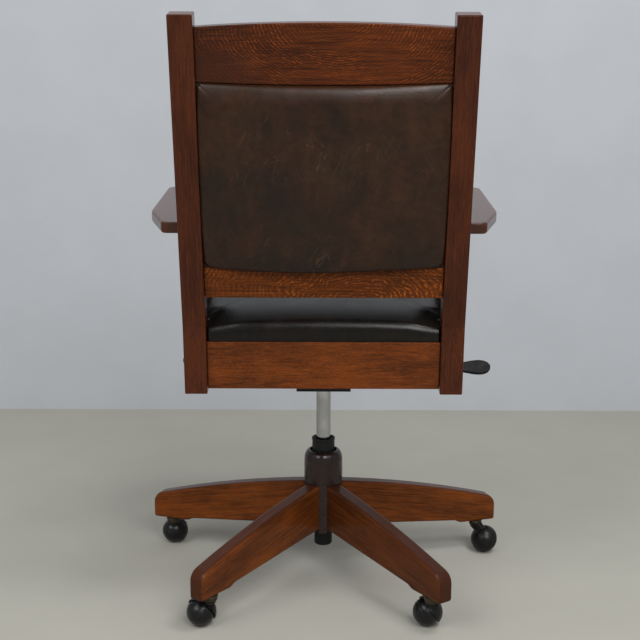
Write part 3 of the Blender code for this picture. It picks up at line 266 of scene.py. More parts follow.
def oak_group() -> Tree:
    """Builds the quartersawn oak group, in board coordinates, and returns it.

    The fleck follows arcs about an eye beside the board, as the rays of a quartersawn log do.
    """
    grain = Grain()
    g, ins = new_group("quartersawn oak", {
        "Vector": ("Board", "Eye", "Squeeze"),
        "Float": ("Seed", "Face", "Fleck", "Pitch", "Sway", "Wiggle", "Short", "Smoke", "Rimmed"),
        "Color": ("Dark", "Mid", "Flare")})
    board, seed, face = ins["Board"], ins["Seed"], ins["Face"]
    place = g.vector("ADD", board, g.join(g.times(seed, 7.31), g.times(seed, 3.17), g.times(seed, 5.73)))
    # Fibres that wander a little along the board
    drift = g.centred(g.figure(place, grain.drift))
    fibre = g.vector("ADD", place, g.join(0.0, g.times(drift, 0.020), g.times(drift, 0.012)))
    fibre = g.vector("MULTIPLY", fibre, g.join(ins["Short"], 1.0, 1.0))
    streak = g.figure(fibre, grain.streak, 3.0, 0.6)
    thread = g.figure(fibre, grain.thread, 2.0, 0.6)
    pores = g.ramp(g.figure(fibre, grain.pores, 1.0), 0.58, 0.70)
    cloud = g.figure(place, grain.cloud, 3.0, 0.55)
    # Rays in rings about the eye
    from_eye = g.vector("MULTIPLY", g.vector("SUBTRACT", board, ins["Eye"]), ins["Squeeze"])
    distance = g.vector("LENGTH", from_eye)
    swirl = g.centred(g.figure(place, grain.swirl, 3.0, 0.55))
    phase = g.plus(g.times(distance, ins["Pitch"]), g.times(swirl, ins["Sway"]))
    jitter = g.centred(g.noise(place, grain.jitter, 3.0, 0.6))
    phase = g.plus(phase, g.times(jitter, ins["Wiggle"]))
    ridge = g.math("SINE", g.times(phase, math.tau))
    # The rays are broken into dashes, and thicker in some regions and near the eye
    away = g.node("SeparateXYZ", None, Vector=from_eye).outputs
    round_eye = g.times(g.math("ARCTAN2", away[0], away[1]), distance)
    dash = g.noise(g.join(g.times(round_eye, grain.dashes), phase, seed), 1.0, 2.0, 0.6)
    region = g.ramp(g.figure(place, grain.region, 4.0, 0.6), 0.38, 0.64, 0.06, 1.0)
    region = g.times(region, g.ramp(distance, 0.15, 0.02, 0.55, 1.15))
    fleck = g.times(g.ramp(ridge, -0.10, 0.95), g.ramp(dash, 0.42, 0.66))
    fleck = g.times(g.times(fleck, g.times(region, face)), ins["Fleck"], clamp=True)
    # The stain, from the ground colour up, and last the painted shade on the narrow faces and edges
    mixed = g.plus(g.times(streak, 0.45), g.times(cloud, 0.55))
    base = g.blend(g.ramp(mixed, 0.38, 0.62), ins["Dark"], ins["Mid"])
    base = g.blend(g.ramp(thread, 0.44, 0.74, 0.0, 0.34), base, ins["Flare"])
    smudge = g.ramp(g.figure(place, grain.smudge, 4.0, 0.6), 0.52, 0.72, 0.0, 0.30)
    base = g.blend(smudge, base, grain.smudge_brown)
    base = g.blend(g.times(region, 0.34, clamp=True), base, ins["Mid"])
    shade = g.times(g.ramp(ridge, -0.2, -0.95), g.times(ins["Fleck"], face))
    base = g.blend(g.times(shade, 0.26, clamp=True), base, grain.shade_brown)
    base = g.blend(g.times(fleck, 0.80), base, ins["Flare"])
    base = g.blend(g.times(pores, 0.38), base, grain.pore_brown)
    along = g.node("SeparateXYZ", None, Vector=board).outputs[0]
    haze = g.ramp(g.plus(along, g.times(g.centred(cloud), 0.35)), 0.02, 0.22)
    base = g.blend(g.times(g.times(haze, ins["Smoke"]), 0.70, clamp=True), base, grain.smoke_brown)
    # Painted shade: faces that turn away from the board's wide face, its tops, ends and edges, are painted
    # darker
    rim = g.times(g.math("SUBTRACT", 1.0, face), ins["Rimmed"])
    base = g.blend(g.times(rim, g.ramp(cloud, 0.25, 0.75, 0.85, 1.1), clamp=True), base, grain.edge_shade_brown)
    rough = g.plus(g.ramp(cloud, 0.3, 0.7, 0.36, 0.46), g.times(fleck, -0.05))
    high = g.math("SUBTRACT", g.plus(g.times(streak, 0.35), g.times(fleck, 0.2)), pores)
    return end_group(g, base, rough, high)


# The leather's scratches: which way they run, how fine they are and how rare
SCRATCHES = ((0.45, (74.0, 30.0, 4.4), 0.50), (-0.55, (70.0, 30.0, 4.8), 0.54),
             (1.35, (90.0, 30.0, 6.0), 0.54))
SCRATCH_PALE = srgb(112, 84, 60)


def leather_group() -> Tree:
    """Builds the aged leather group, with mottled dye, thin scratches and a fine pebble, and returns it."""
    g, ins = new_group("aged leather", {
        "Vector": ("Place", "Middle"), "Float": ("Seed", "Crease", "Polish"),
        "Color": ("Base", "Warm", "Olive")})
    seed = ins["Seed"]
    place = g.vector("ADD", ins["Place"], g.join(seed, g.times(seed, 2.7), seed))
    warm = g.ramp(g.noise(place, 7.0, 5.0, 0.66), 0.34, 0.68)
    olive = g.ramp(g.noise(g.vector("ADD", place, (3.1, 1.7, 0.4)), 10.0, 5.0, 0.68), 0.40, 0.68)
    colour = g.blend(g.times(warm, 0.95), ins["Base"], ins["Warm"])
    colour = g.blend(g.times(olive, 0.75), colour, ins["Olive"])
    colour = g.shade(colour, g.ramp(g.noise(place, 55.0, 4.0, 0.68), 0.30, 0.70, 0.78, 1.22))
    # Scratches lie only near the middle, where the leather is worked
    worked = g.vector("LENGTH", g.vector("SUBTRACT", ins["Place"], ins["Middle"]))
    worked = g.ramp(worked, 0.24, 0.06)
    marks = 0.0
    for turn, sizes, rare in SCRATCHES:
        turned = g.node("VectorRotate", {"rotation_type": "Y_AXIS"}, Vector=place, Angle=turn).outputs[0]
        thin = g.ramp(g.math("ABSOLUTE", g.centred(g.figure(turned, sizes))), 0.0, 0.012, 1.0, 0.0)
        few = g.ramp(g.noise(g.vector("ADD", place, (turn, 4.0, 0.0)), 9.0, 3.0, 0.6), rare, rare + 0.14)
        marks = g.math("MAXIMUM", marks, g.times(thin, g.times(few, worked)))
    scuff = g.ramp(g.noise(g.vector("ADD", place, (1.9, 0.3, 0.0)), 90.0, 4.0, 0.75), 0.60, 0.80)
    crease = g.plus(g.times(marks, 0.9), g.times(scuff, 0.30))
    crease = g.times(crease, ins["Crease"], clamp=True)
    colour = g.blend(g.times(crease, 0.30), colour, SCRATCH_PALE)
    rough = g.plus(g.ramp(g.noise(place, 26.0, 3.0), 0.3, 0.7, 0.27, 0.38), g.times(crease, 0.12))
    rough = g.math("SUBTRACT", rough, ins["Polish"])
    pebble = g.node("TexVoronoi", {"feature": "SMOOTH_F1"}, Vector=place, Scale=620.0, Smoothness=0.7)
    high = g.plus(g.times(pebble.outputs["Distance"], -0.8), g.times(g.noise(place, 1500.0, 1.0), 0.25))
    return end_group(g, colour, rough, g.math("SUBTRACT", high, g.times(crease, 0.5)))


def wear_group() -> Tree:
    """Builds the group for painted, cast and moulded surfaces and returns it."""
    g, ins = new_group("handled surface", {
        "Vector": ("Place",), "Float": ("Wear", "Size", "Smooth", "Grit"), "Color": ("Base", "Worn")})
    place = ins["Place"]
    patch = g.noise(place, ins["Size"], 4.0, 0.62)
    worn = g.times(g.ramp(patch, 0.50, 0.72), ins["Wear"], clamp=True)
    colour = g.shade(ins["Base"], g.ramp(g.noise(place, 23.0, 3.0), 0.3, 0.7, 0.84, 1.12))
    rough = g.plus(ins["Smooth"], g.ramp(patch, 0.3, 0.7, -0.05, 0.09))
    return end_group(g, g.blend(worn, colour, ins["Worn"]), rough, g.noise(place, ins["Grit"], 1.0))


@cache
def shared_group(name: str) -> Tree:
    """Returns a shared node group by its short name, built the first time."""
    return {"oak": oak_group, "leather": leather_group, "wear": wear_group}[name]()


def start_material(name: str) -> tuple[Material, Graph, bpy.types.Node]:
    """Starts a node material and returns it, its graph builder and its Principled node."""
    material = bpy.data.materials.new(name)
    material.use_nodes = True
    return material, Graph(material.node_tree), material.node_tree.nodes["Principled BSDF"]


def surface(graph: Graph, shader: bpy.types.Node, group: str, strength: float, depth: float,
            **values: object) -> None:
    """Puts a shared group in a material and links its colour, roughness and height to the shader.

    Args:
        graph: The material's graph builder.
        shader: Its Principled node.
        group: The group's short name.
        strength: How strong the bump is.
        depth: How deep the bump is, in metres.
        values: The group's inputs by name.
    """
    source = graph.node("Group", {"node_tree": shared_group(group)}, **values).outputs
    bump = graph.node("Bump", None, Height=source["Height"], Strength=strength, Distance=depth)
    graph.wire(shader, Base_Color=source["Color"], Roughness=source["Roughness"],
               Normal=bump.outputs["Normal"])


# Finishes


class Tone(Enum):
    """How dark a board took the stain; one tone is a darker copy of another, painted as shade."""

    DEEP = (srgb(54, 28, 19), srgb(76, 38, 22), srgb(108, 55, 28))
    SMOKY = (srgb(48, 24, 15), srgb(82, 39, 18), srgb(152, 76, 29))
    RICH = (srgb(66, 32, 14), srgb(104, 51, 18), srgb(170, 92, 32))
    GLOW = (srgb(70, 35, 17), srgb(112, 55, 22), srgb(154, 84, 33))
    # The warm tone painted darker, as shade on the rear-right leg's side that is turned from the key lamp
    UMBER = (srgb(54, 28, 14), srgb(88, 45, 19), srgb(128, 70, 28))
    WARM = (srgb(66, 33, 15), srgb(112, 57, 20), srgb(152, 84, 32))


@dataclass(frozen=True)
class Board:
    """How a board was cut: its grain and its wide face, as directions of the chair."""

    along: Vector
    across: Vector
    tone: Tone = Tone.RICH
    fleck: float = 1.0
    eye: tuple[float, float] = (0.0, 0.5)
    squeeze: float = 0.7
    pitch: float = 0.0045
    sway: float = 3.0
    smoke: float = 0.0
    # How strongly the narrow faces and edges are painted darker as shade
    rimmed: float = 0.25
    wiggle: float = 1.0
    lacquer: float = 1.16
    short: float = 1.0

    def material(self, name: str, corners: Sequence[Vector], seed: float) -> Material:
        """Makes the oak for one board.

        Args:
            name: The material's name.
            corners: Points of the board, for its middle.
            seed: Sets this board's own figure.

        Returns:
            The material.
        """
        along = self.along.normalized()
        across = (self.across - along * self.across.dot(along)).normalized()
        through = along.cross(across)
        turn = Matrix((along, across, through)).transposed()
        local = [turn.transposed() @ point for point in corners]
        middle = Vector([(min(p[i] for p in local) + max(p[i] for p in local)) / 2 for i in range(3)])
        material, g, shader = start_material(name)
        where = g.node("TexCoord").outputs
        board = g.node("Mapping", {"vector_type": "TEXTURE"}, Vector=where["Object"],
                       Location=turn @ middle, Rotation=turn.to_euler()).outputs[0]
        facing = g.math("ABSOLUTE", g.vector("DOT_PRODUCT", where["Normal"], tuple(through)))
        dark, mid, flare = self.tone.value
        surface(g, shader, "oak", strength=0.20, depth=0.0006, Board=board, Seed=seed,
                Face=g.ramp(facing, 0.55, 0.85), Fleck=self.fleck, Eye=(*self.eye, 0.0),
                Squeeze=(self.squeeze, 1.0, 0.0), Pitch=1 / self.pitch, Sway=self.sway,
                Wiggle=self.wiggle, Short=self.short, Smoke=self.smoke, Rimmed=self.rimmed, Dark=dark,
                Mid=mid, Flare=flare)
        g.wire(shader, Specular_IOR_Level=0.03, Coat_Weight=1.0, Coat_IOR=self.lacquer, Coat_Roughness=0.18)
        return material


@dataclass(frozen=True)
class LeatherFinish:
    """Dark aged leather."""

    base: Colour = srgb(31, 18, 12)
    warm: Colour = srgb(54, 30, 16)
    olive: Colour = srgb(42, 27, 14)
    crease: float = 1.0
    seed: float = 0.0
    gloss: float = 0.28
    polish: float = 0.04
    middle: Triple = (0.0, 0.35, 0.76)

    def material(self, name: str) -> Material:
        """Makes the leather and returns it."""
        material, g, shader = start_material(name)
        surface(g, shader, "leather", strength=0.30, depth=0.0005, Seed=self.seed,
                Place=g.node("TexCoord").outputs["Object"], Crease=self.crease, Polish=self.polish,
                Middle=self.middle, Base=self.base, Warm=self.warm, Olive=self.olive)
        g.wire(shader, Specular_IOR_Level=self.gloss)
        return material


@dataclass(frozen=True)
class Worked:
    """A painted, cast, plated or moulded finish."""

    base: Colour
    worn: Colour
    wear: float = 0.3
    size: float = 60.0
    smooth: float = 0.35
    grit: float = 900.0
    bump: float = 0.1
    metallic: float = 0.0
    coat: float = 0.0
    gloss: float = 0.3

    def material(self, name: str) -> Material:
        """Makes the finish and returns it."""
        material, g, shader = start_material(name)
        surface(g, shader, "wear", self.bump, depth=0.0004, Place=g.node("TexCoord").outputs["Object"],
                Base=self.base, Worn=self.worn, Wear=self.wear, Size=self.size, Smooth=self.smooth,
                Grit=self.grit)
        g.wire(shader, Metallic=self.metallic, Specular_IOR_Level=self.gloss, Coat_Weight=self.coat,
               Coat_Roughness=0.15)
        return material


class Finish(Enum):
    """The chair's metal and plastic finishes, and the boards' painted shade."""

    BRONZE = Worked(srgb(40, 27, 24), srgb(54, 37, 32), 0.30, 45.0, 0.24, 700.0, 0.05, 0.0, 0.15, 0.26)
    STEEL = Worked(srgb(30, 29, 29), srgb(48, 46, 44), 0.30, 70.0, 0.48, 900.0, 0.14, 0.2)
    PLASTIC = Worked(srgb(9, 9, 10), srgb(22, 22, 23), 0.35, 160.0, 0.50, 1100.0, 0.30, gloss=0.16)
    COLLAR = Worked(srgb(22, 22, 23), srgb(38, 38, 39), 0.45, 160.0, 0.50, 1300.0, 0.60)
    CAP = Worked(srgb(7, 7, 7), srgb(14, 14, 14), 0.35, 160.0, 0.60, 1300.0, 0.40)
    CHROME = Worked(srgb(180, 181, 183), srgb(150, 151, 152), 0.30, 80.0, 0.14, 1500.0, 0.02, 1.0)
    ZINC = Worked(srgb(150, 148, 142), srgb(110, 106, 98), 0.45, 120.0, 0.36, 900.0, 0.08, 1.0)
    GUNMETAL = Worked(srgb(16, 15, 14), srgb(46, 39, 29), 0.34, 130.0, 0.34, 900.0, 0.06, 0.15, 0.0)
    WHEEL = Worked(srgb(12, 12, 13), srgb(34, 31, 28), 0.26, 110.0, 0.30, 900.0, 0.05, 0.05, 0.1)
    BRASS = Worked(srgb(74, 65, 50), srgb(34, 30, 25), 0.70, 150.0, 0.34, 900.0, 0.08, 0.60)
    # Painted shade: near-black on the seat and back boards, standing for the shade where the seat board
    # shows under the cushion
    CLOTH = Worked(srgb(26, 23, 21), srgb(40, 35, 31), 0.30, 90.0, 0.88, 2200.0, 0.50)


@cache
def finished(finish: Finish) -> Material:
    """Returns a finish's material, made the first time."""
    return finish.value.material(finish.name.lower())


def dress(finish: Material | Finish, *nodes: str) -> None:
    """Gives CAD nodes their material or finish."""
    material = finished(finish) if isinstance(finish, Finish) else finish
    for node in nodes:
        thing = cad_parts[node]
        thing.data.materials.clear()
        thing.data.materials.append(material)


def dress_board(node: str, board: Board, seed: float) -> None:
    """Gives a CAD node an oak of its own, from how its board was cut."""
    corners = [v.co.copy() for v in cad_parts[node].data.vertices]
    dress(board.material("oak_" + node, corners, seed), node)
    log.info("%s dressed", node)


# Mesh building


def add_object(name: str, data: bpy.types.ID) -> Object:
    """Puts a new object into the scene and returns it."""
    made = bpy.data.objects.new(name, data)
    bpy.context.scene.collection.objects.link(made)
    return made


def add_piece(name: str, mesh: Mesh, material: Material, body: str, place: Matrix) -> Object:
    """Puts a mesh into the scene as a piece that rides on a body.

    Args:
        name: The piece's name.
        mesh: Its mesh, which is freed.
        material: Its material.
        body: The body that it rides on.
        place: Where it stands in the chair's frame.

    Returns:
        The piece.
    """
    bmesh.ops.recalc_face_normals(mesh, faces=mesh.faces)
    bmesh.ops.transform(mesh, matrix=place, verts=mesh.verts)
    data = bpy.data.meshes.new(name)
    mesh.to_mesh(data)
    mesh.free()
    data.shade_smooth()
    data.materials.append(material)
    piece = add_object(name, data)
    data.set_sharp_from_angle(angle=SHARP)
    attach(piece, body)
    return piece


def lathe(profile: Profile, steps: int, mesh: Mesh | None = None, place: Matrix | None = None) -> Mesh:
    """Turns a profile of radius and height pairs about Z.

    Args:
        profile: The pairs, from one end of the outline to the other.
        steps: How many sides.
        mesh: A mesh to add to, or none for a new one.
        place: Where the turned form stands.

    Returns:
        The mesh.
    """
    made = mesh or bmesh.new()
    before = set(made.verts)
    rings = []
    for radius, height in profile:
        if radius < TINY:
            rings.append([made.verts.new((0.0, 0.0, height))])
            continue
        angles = [2 * math.pi * k / steps for k in range(steps)]
        rings.append([made.verts.new((radius * math.cos(a), radius * math.sin(a), height)) for a in angles])
    for first, second in zip(rings, rings[1:]):
        for k in range(steps):
            n = (k + 1) % steps
            corners = ((first, k), (first, n), (second, n), (second, k))
            made.faces.new(dict.fromkeys(ring[i % len(ring)] for ring, i in corners))
    if place is not None:
        bmesh.ops.transform(made, matrix=place, verts=[v for v in made.verts if v not in before])
    return made


def arc(radius: float, start: float, end: float, count: int) -> Profile:
    """Returns points on an arc about the origin, between two angles in degrees."""
    angles = [math.radians(start + (end - start) * i / count) for i in range(count + 1)]
    return [(radius * math.cos(a), radius * math.sin(a)) for a in angles]


def toward(start: Vector, direction: Vector) -> Matrix:
    """Returns the matrix that puts Z along a direction, at a point."""
    turn = Vector((0, 0, 1)).rotation_difference(direction).to_matrix().to_4x4()
    return Matrix.Translation(start) @ turn


def fill_grid(mesh: Mesh, grid: list[list[bmesh.types.BMVert]]) -> None:
    """Adds the faces between the points of a grid."""
    for first, second in zip(grid, grid[1:]):
        for j in range(len(first) - 1):
            mesh.faces.new((first[j], second[j], second[j + 1], first[j + 1]))


def border(rows: int, columns: int) -> list[tuple[int, int]]:
    """Returns the rows and columns of a grid's edge points, once around."""
    rim = [(i, 0) for i in range(rows)] + [(rows, j) for j in range(columns)]
    return rim + [(rows - i, columns) for i in range(rows)] + [(0, columns - j) for j in range(columns)]


def ease(value: float, start: float, end: float) -> float:
    """Returns a smooth rise from 0 at start to 1 at end."""
    share = max(0.0, min(1.0, (value - start) / (end - start)))
    return share * share * (3 - 2 * share)


# The chair's sub-assemblies


@dataclass
class Joinery:
    """The oak boards of the seat and back, each with its own grain."""

    seed: float = 1.0
    seed_step: float = 0.37

    def boards(self) -> dict[str, Board]:
        """Returns how each board was cut, by node."""
        x, y, z = (axis.copy() for axis in DATUM.seat().to_3x3().col)
        back_x, _, back_z = (axis.copy() for axis in DATUM.back().to_3x3().col)
        cuts = {
            "crest_rail": Board(back_x, back_z, Tone.SMOKY, 1.0, (-0.02, 0.052), 0.62, 0.0036, 3.4, 1.0),
            "lower_back_rail": Board(back_x, back_z, Tone.RICH, 1.0, (-0.065, -0.036), 0.62, 0.0056, 6.0),
            "rear_seat_rail": Board(x, z, Tone.GLOW, 0.9, (-0.05, -0.60), 0.8, 0.0030, 2.0, wiggle=2.6,
                                    short=5.0),
            "front_seat_rail": Board(x, z, Tone.RICH, 0.8, (0.05, -0.07), 0.6, 0.0046, 3.0),
        }
        for hand in ("left", "right"):
            cuts["back_post_" + hand] = Board(back_z, back_x, Tone.DEEP, 0.16, rimmed=0.0, short=2.6)
            cuts["side_seat_rail_" + hand] = Board(y, z, Tone.RICH, 0.8, (-0.06, 0.08), 0.6)
            cuts["arm_" + hand] = Board(y, x, Tone.DEEP, 0.7, (0.06, 0.10), 0.5, rimmed=0.3, lacquer=1.38)
            cuts["arm_support_" + hand] = Board(z, y, Tone.DEEP, 0.6, (0.0, 0.09), 0.5)
            cuts["seat_ledger_" + hand] = Board(y, z, fleck=0.1)
            cuts["corner_block_" + hand] = Board(x, y, fleck=0.1)
        for place in ("front", "rear"):
            cuts["batten_" + place] = Board(x, y, fleck=0.1)
        return cuts

    def build(self) -> None:
        """Dresses every board."""
        for index, (node, board) in enumerate(self.boards().items()):
            dress_board(node, board, self.seed + self.seed_step * index)
        # The boards get the near-black painted shade
        dress(Finish.CLOTH, "seat_board", "back_board")


@dataclass
class Pad:
    """One upholstered pad, as a fine grid over its plan."""

    name: str
    node: str
    place: Matrix
    half_width: float
    half_depth: float
    finish: LeatherFinish
    corner: float
    swell: float
    crown: float
    roll: float
    squareness: float
    pull: float = 0.0
    bow: float = 0.0
    overhang: float = 0.0
    tuck: float = 0.0006
    ripple: float = 0.0004
    ripples: float = 14.0
    side_bulge: float = 0.0008
    fill: float = 0.9
    cells: int = 110
    share: float = 0.85
    mitre: float = 5.0
    lean: float = 0.0
    rise: float = 0.0
    rear_squareness: float = 0.0
    rear_roll: float = 0.0
    fullness: float = 2.0
    post_line: float = 0.0
    post_cut: float = 0.0
    post_step: float = 0.0003

    def spot(self, u: float, v: float, inset: float, height: float) -> Vector:
        """Returns where a grid point lies, by its place on the plan and its height."""
        square = self.rear_squareness if self.rear_squareness and v > 0 else self.squareness
        norm = (abs(u) ** square + abs(v) ** square) ** (1 / square)
        scale = max(abs(u), abs(v)) / norm if norm > 0 else 1.0
        shift = self.bow * (1 - u * u) * (1 - v) / 2
        if self.overhang:
            hang = (1 - u * u) * (1 + self.lean * u)
            shift += self.overhang * hang * ease(v, 0.80, 0.985) * (1 - ease(v, 0.985, 1.0))
            shift -= self.rise * (1 - u ** 8) * ease(-v, 0.90, 0.985) * (1 - ease(-v, 0.985, 1.0))
        across = u * scale * (self.half_width - inset)
        depth = v * scale * (self.half_depth - inset)
        if self.post_cut and abs(across) > self.post_line:
            depth = min(depth, self.post_cut - inset)
        return Vector((across, depth + shift, height))

    def height(self, u: float, v: float) -> float:
        """Returns the leather's height at a grid point."""
        level = self.corner + self.swell * (1 - abs(u * v) ** 2.2)
        level += self.crown * (1 - u * u) * (1 - v * v)
        level -= self.pull * ease(abs(u), 0.60, 0.87) * ease(v, 0.72, 1.0)
        across = max(0.0, 1 - (1 - abs(u)) * self.half_width / self.roll)
        reach = self.rear_roll if self.rear_roll and v > 0 else self.roll
        along = max(0.0, 1 - (1 - abs(v)) * self.half_depth / reach)
        over = min(1.0, (across ** self.mitre + along ** self.mitre) ** (1 / self.mitre))
        full = 2.0 + (self.fullness - 2.0) * ease(v, 0.10, 0.80)
        fall = 1 - max(0.0, 1 - over ** full) ** (1 / full)
        level -= fall * min(self.roll, self.share * level)
        where = (u * self.half_width * self.ripples, v * self.half_depth * self.ripples, self.finish.seed)
        return level + self.ripple * noise.noise(Vector(where)) * (1 - fall)

    def mesh(self) -> Mesh:
        """Builds the pad's closed mesh and returns it."""
        made = bmesh.new()
        count = self.cells
        marks = [math.sin(math.pi / 2 * (2 * k / count - 1)) for k in range(count + 1)]
        if self.post_line:
            for side in (-1, 1):
                for edge in (self.post_line, self.post_line + self.post_step):
                    line = side * edge / self.half_width
                    near = min(range(len(marks)), key=lambda k: abs(marks[k] - line))
                    marks[near] = line
            marks.sort()
        top = [[made.verts.new(self.spot(u, v, 0.0, self.height(u, v))) for v in marks] for u in marks]
        fill_grid(made, top)
        rim = border(count, count)
        ring = [top[i][j] for i, j in rim]
        for share in (0.66, 0.33, 0.0):
            inset = self.tuck * (1 - share) - self.side_bulge * math.sin(math.pi * share)
            lower = [made.verts.new(self.spot(marks[i], marks[j], inset, top[i][j].co.z * share))
                     for i, j in rim]
            for k in range(len(rim)):
                n = (k + 1) % len(rim)
                made.faces.new((ring[k], lower[k], lower[n], ring[n]))
            ring = lower
        made.faces.new(ring)
        return made

    def build(self) -> None:
        """Makes the pad."""
        piece = add_piece(self.name, self.mesh(), self.finish.material(self.name), "tilting", self.place)
        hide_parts(self.node)
        log.info("%s made", self.name)


@dataclass
class Upholstery:
    """The seat cushion and the two back pads."""

    rail_top: float = 0.0962
    post_depth: float = 0.0360
    crest_bottom: float = 0.4098
    lower_rail_top: float = 0.1055
    board: float = 0.0120
    gap: float = 0.0003
    trim: float = 0.0006
    post_gap: float = 0.0010
    back_half: float = 0.1986
    seat_half: float = 0.2280
    seat_front: float = 0.1700
    seat_rear: float = 0.0100
    post_line: float = 0.1976

    def back_pads(self) -> list[Pad]:
        """Returns the two pads of the back, each turned to its own side."""
        middle = -self.post_depth / 2
        tall = (self.crest_bottom - self.lower_rail_top - 2 * self.gap) / 2 - self.trim
        height = (self.crest_bottom + self.lower_rail_top) / 2
        places = []
        for side, turn in ((1, 0.0), (-1, 180.0)):
            out = middle + side * (self.board / 2 + self.gap)
            facing = Euler((math.radians(-90), 0.0, math.radians(turn))).to_matrix().to_4x4()
            places.append(DATUM.back() @ Matrix.Translation((0.0, out, height)) @ facing)
        rear, front = places
        return [
            Pad("back_leather_rear", "back_pad_rear", rear, self.back_half, tall, LeatherFinish(),
                corner=0.0085, swell=0.0160, crown=0.0040, roll=0.0280, squareness=90.0, bow=0.0042,
                overhang=0.0085, share=0.62, lean=0.35, rise=0.0016, mitre=7.0),
            Pad("back_leather_front", "back_pad_front", front, self.back_half, tall,
                LeatherFinish(seed=2.0), corner=0.0100, swell=0.0200, crown=0.0080, roll=0.0180,
                squareness=40.0, bow=0.0042),
        ]

    def seat_pad(self) -> Pad:
        """Returns the seat cushion, which is cut back at the posts."""
        edge = DATUM.post_rear - self.post_depth / 2 + self.seat_rear - self.post_gap
        centre = (edge - self.seat_front) / 2
        notch = DATUM.post_rear - self.post_depth - self.post_gap - centre
        seat = DATUM.seat() @ Matrix.Translation((0.0, centre, self.rail_top + self.gap))
        dark = LeatherFinish(srgb(15, 12, 11), srgb(21, 16, 13), srgb(18, 15, 12), crease=0.25, seed=4.0,
                             gloss=0.22, polish=0.10, middle=(0.0, 0.0, 0.56))
        return Pad("seat_leather", "seat_cushion", seat, self.seat_half, (edge + self.seat_front) / 2, dark,
                   corner=0.0380, swell=0.0070, crown=0.0085, roll=0.0340, squareness=9.0, pull=0.0060,
                   tuck=0.0010, ripple=0.0006, fill=0.85, mitre=3.0, rear_roll=0.0750, fullness=3.0,
                   rear_squareness=30.0, post_line=self.post_line, post_cut=notch)

    def build(self) -> None:
        """Makes the pads."""
        for pad in (*self.back_pads(), self.seat_pad()):
            pad.build()


@dataclass
class Base:
    """The hub, its five oak legs and the gas lift."""

    leg_fall: float = 0.17
    collar_low: float = 0.2397
    collar_top: float = 0.2727
    collar_radius: float = 0.0219
    bore: float = 0.0145
    seed: float = 12.0
    seed_step: float = 0.61

    def collar(self) -> Mesh:
        """Builds the lift's collar with its rolled lip and recessed mouth and returns it."""
        low, top, wide, bore = self.collar_low, self.collar_top, self.collar_radius, self.bore
        lip = ((0.0, 0.0062), (0.0002, 0.0048), (0.0008, 0.0038), (0.0009, 0.0016), (0.0002, 0.0003),
               (-0.0010, 0.0), (-0.0022, 0.0006), (-0.0030, 0.0026))
        profile = [(bore, low), (wide, low)] + [(wide + out, top - down) for out, down in lip]
        profile += [(bore + 0.0008, top - 0.0040), (bore, top - 0.0050), (bore, low)]
        return lathe(profile, 64)

    def build(self) -> None:
        """Dresses the legs, the hub and the lift."""
        for index, (name, bearing) in enumerate(BEARINGS.items()):
            angle = DATUM.leg_angle(bearing)
            out = Vector((math.cos(angle), math.sin(angle), -self.leg_fall))
            # The rear-right leg takes the darker copy of the warm tone as painted shade, and every leg's
            # tops and edges get strong painted shade
            tone = Tone.UMBER if name == "rear_right" else Tone.WARM
            board = Board(out, Vector((0, 0, 1)), tone, 0.30, (0.1, 0.4), 0.8, 0.0040, 8.0, rimmed=0.80,
                          short=1.8)
            dress_board("leg_" + name, board, self.seed + self.seed_step * index)
        collar = add_piece("collar", self.collar(), finished(Finish.COLLAR), "base", DATUM.column())
        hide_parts("lift_collar")
        dress(Finish.BRONZE, "base_hub")
        dress(Finish.CAP, "lift_cap")
        dress(Finish.STEEL, "lift_tube")
        dress(Finish.CHROME, "lift_rod")
        dress(Finish.ZINC, "release_button")
        log.info("base dressed")


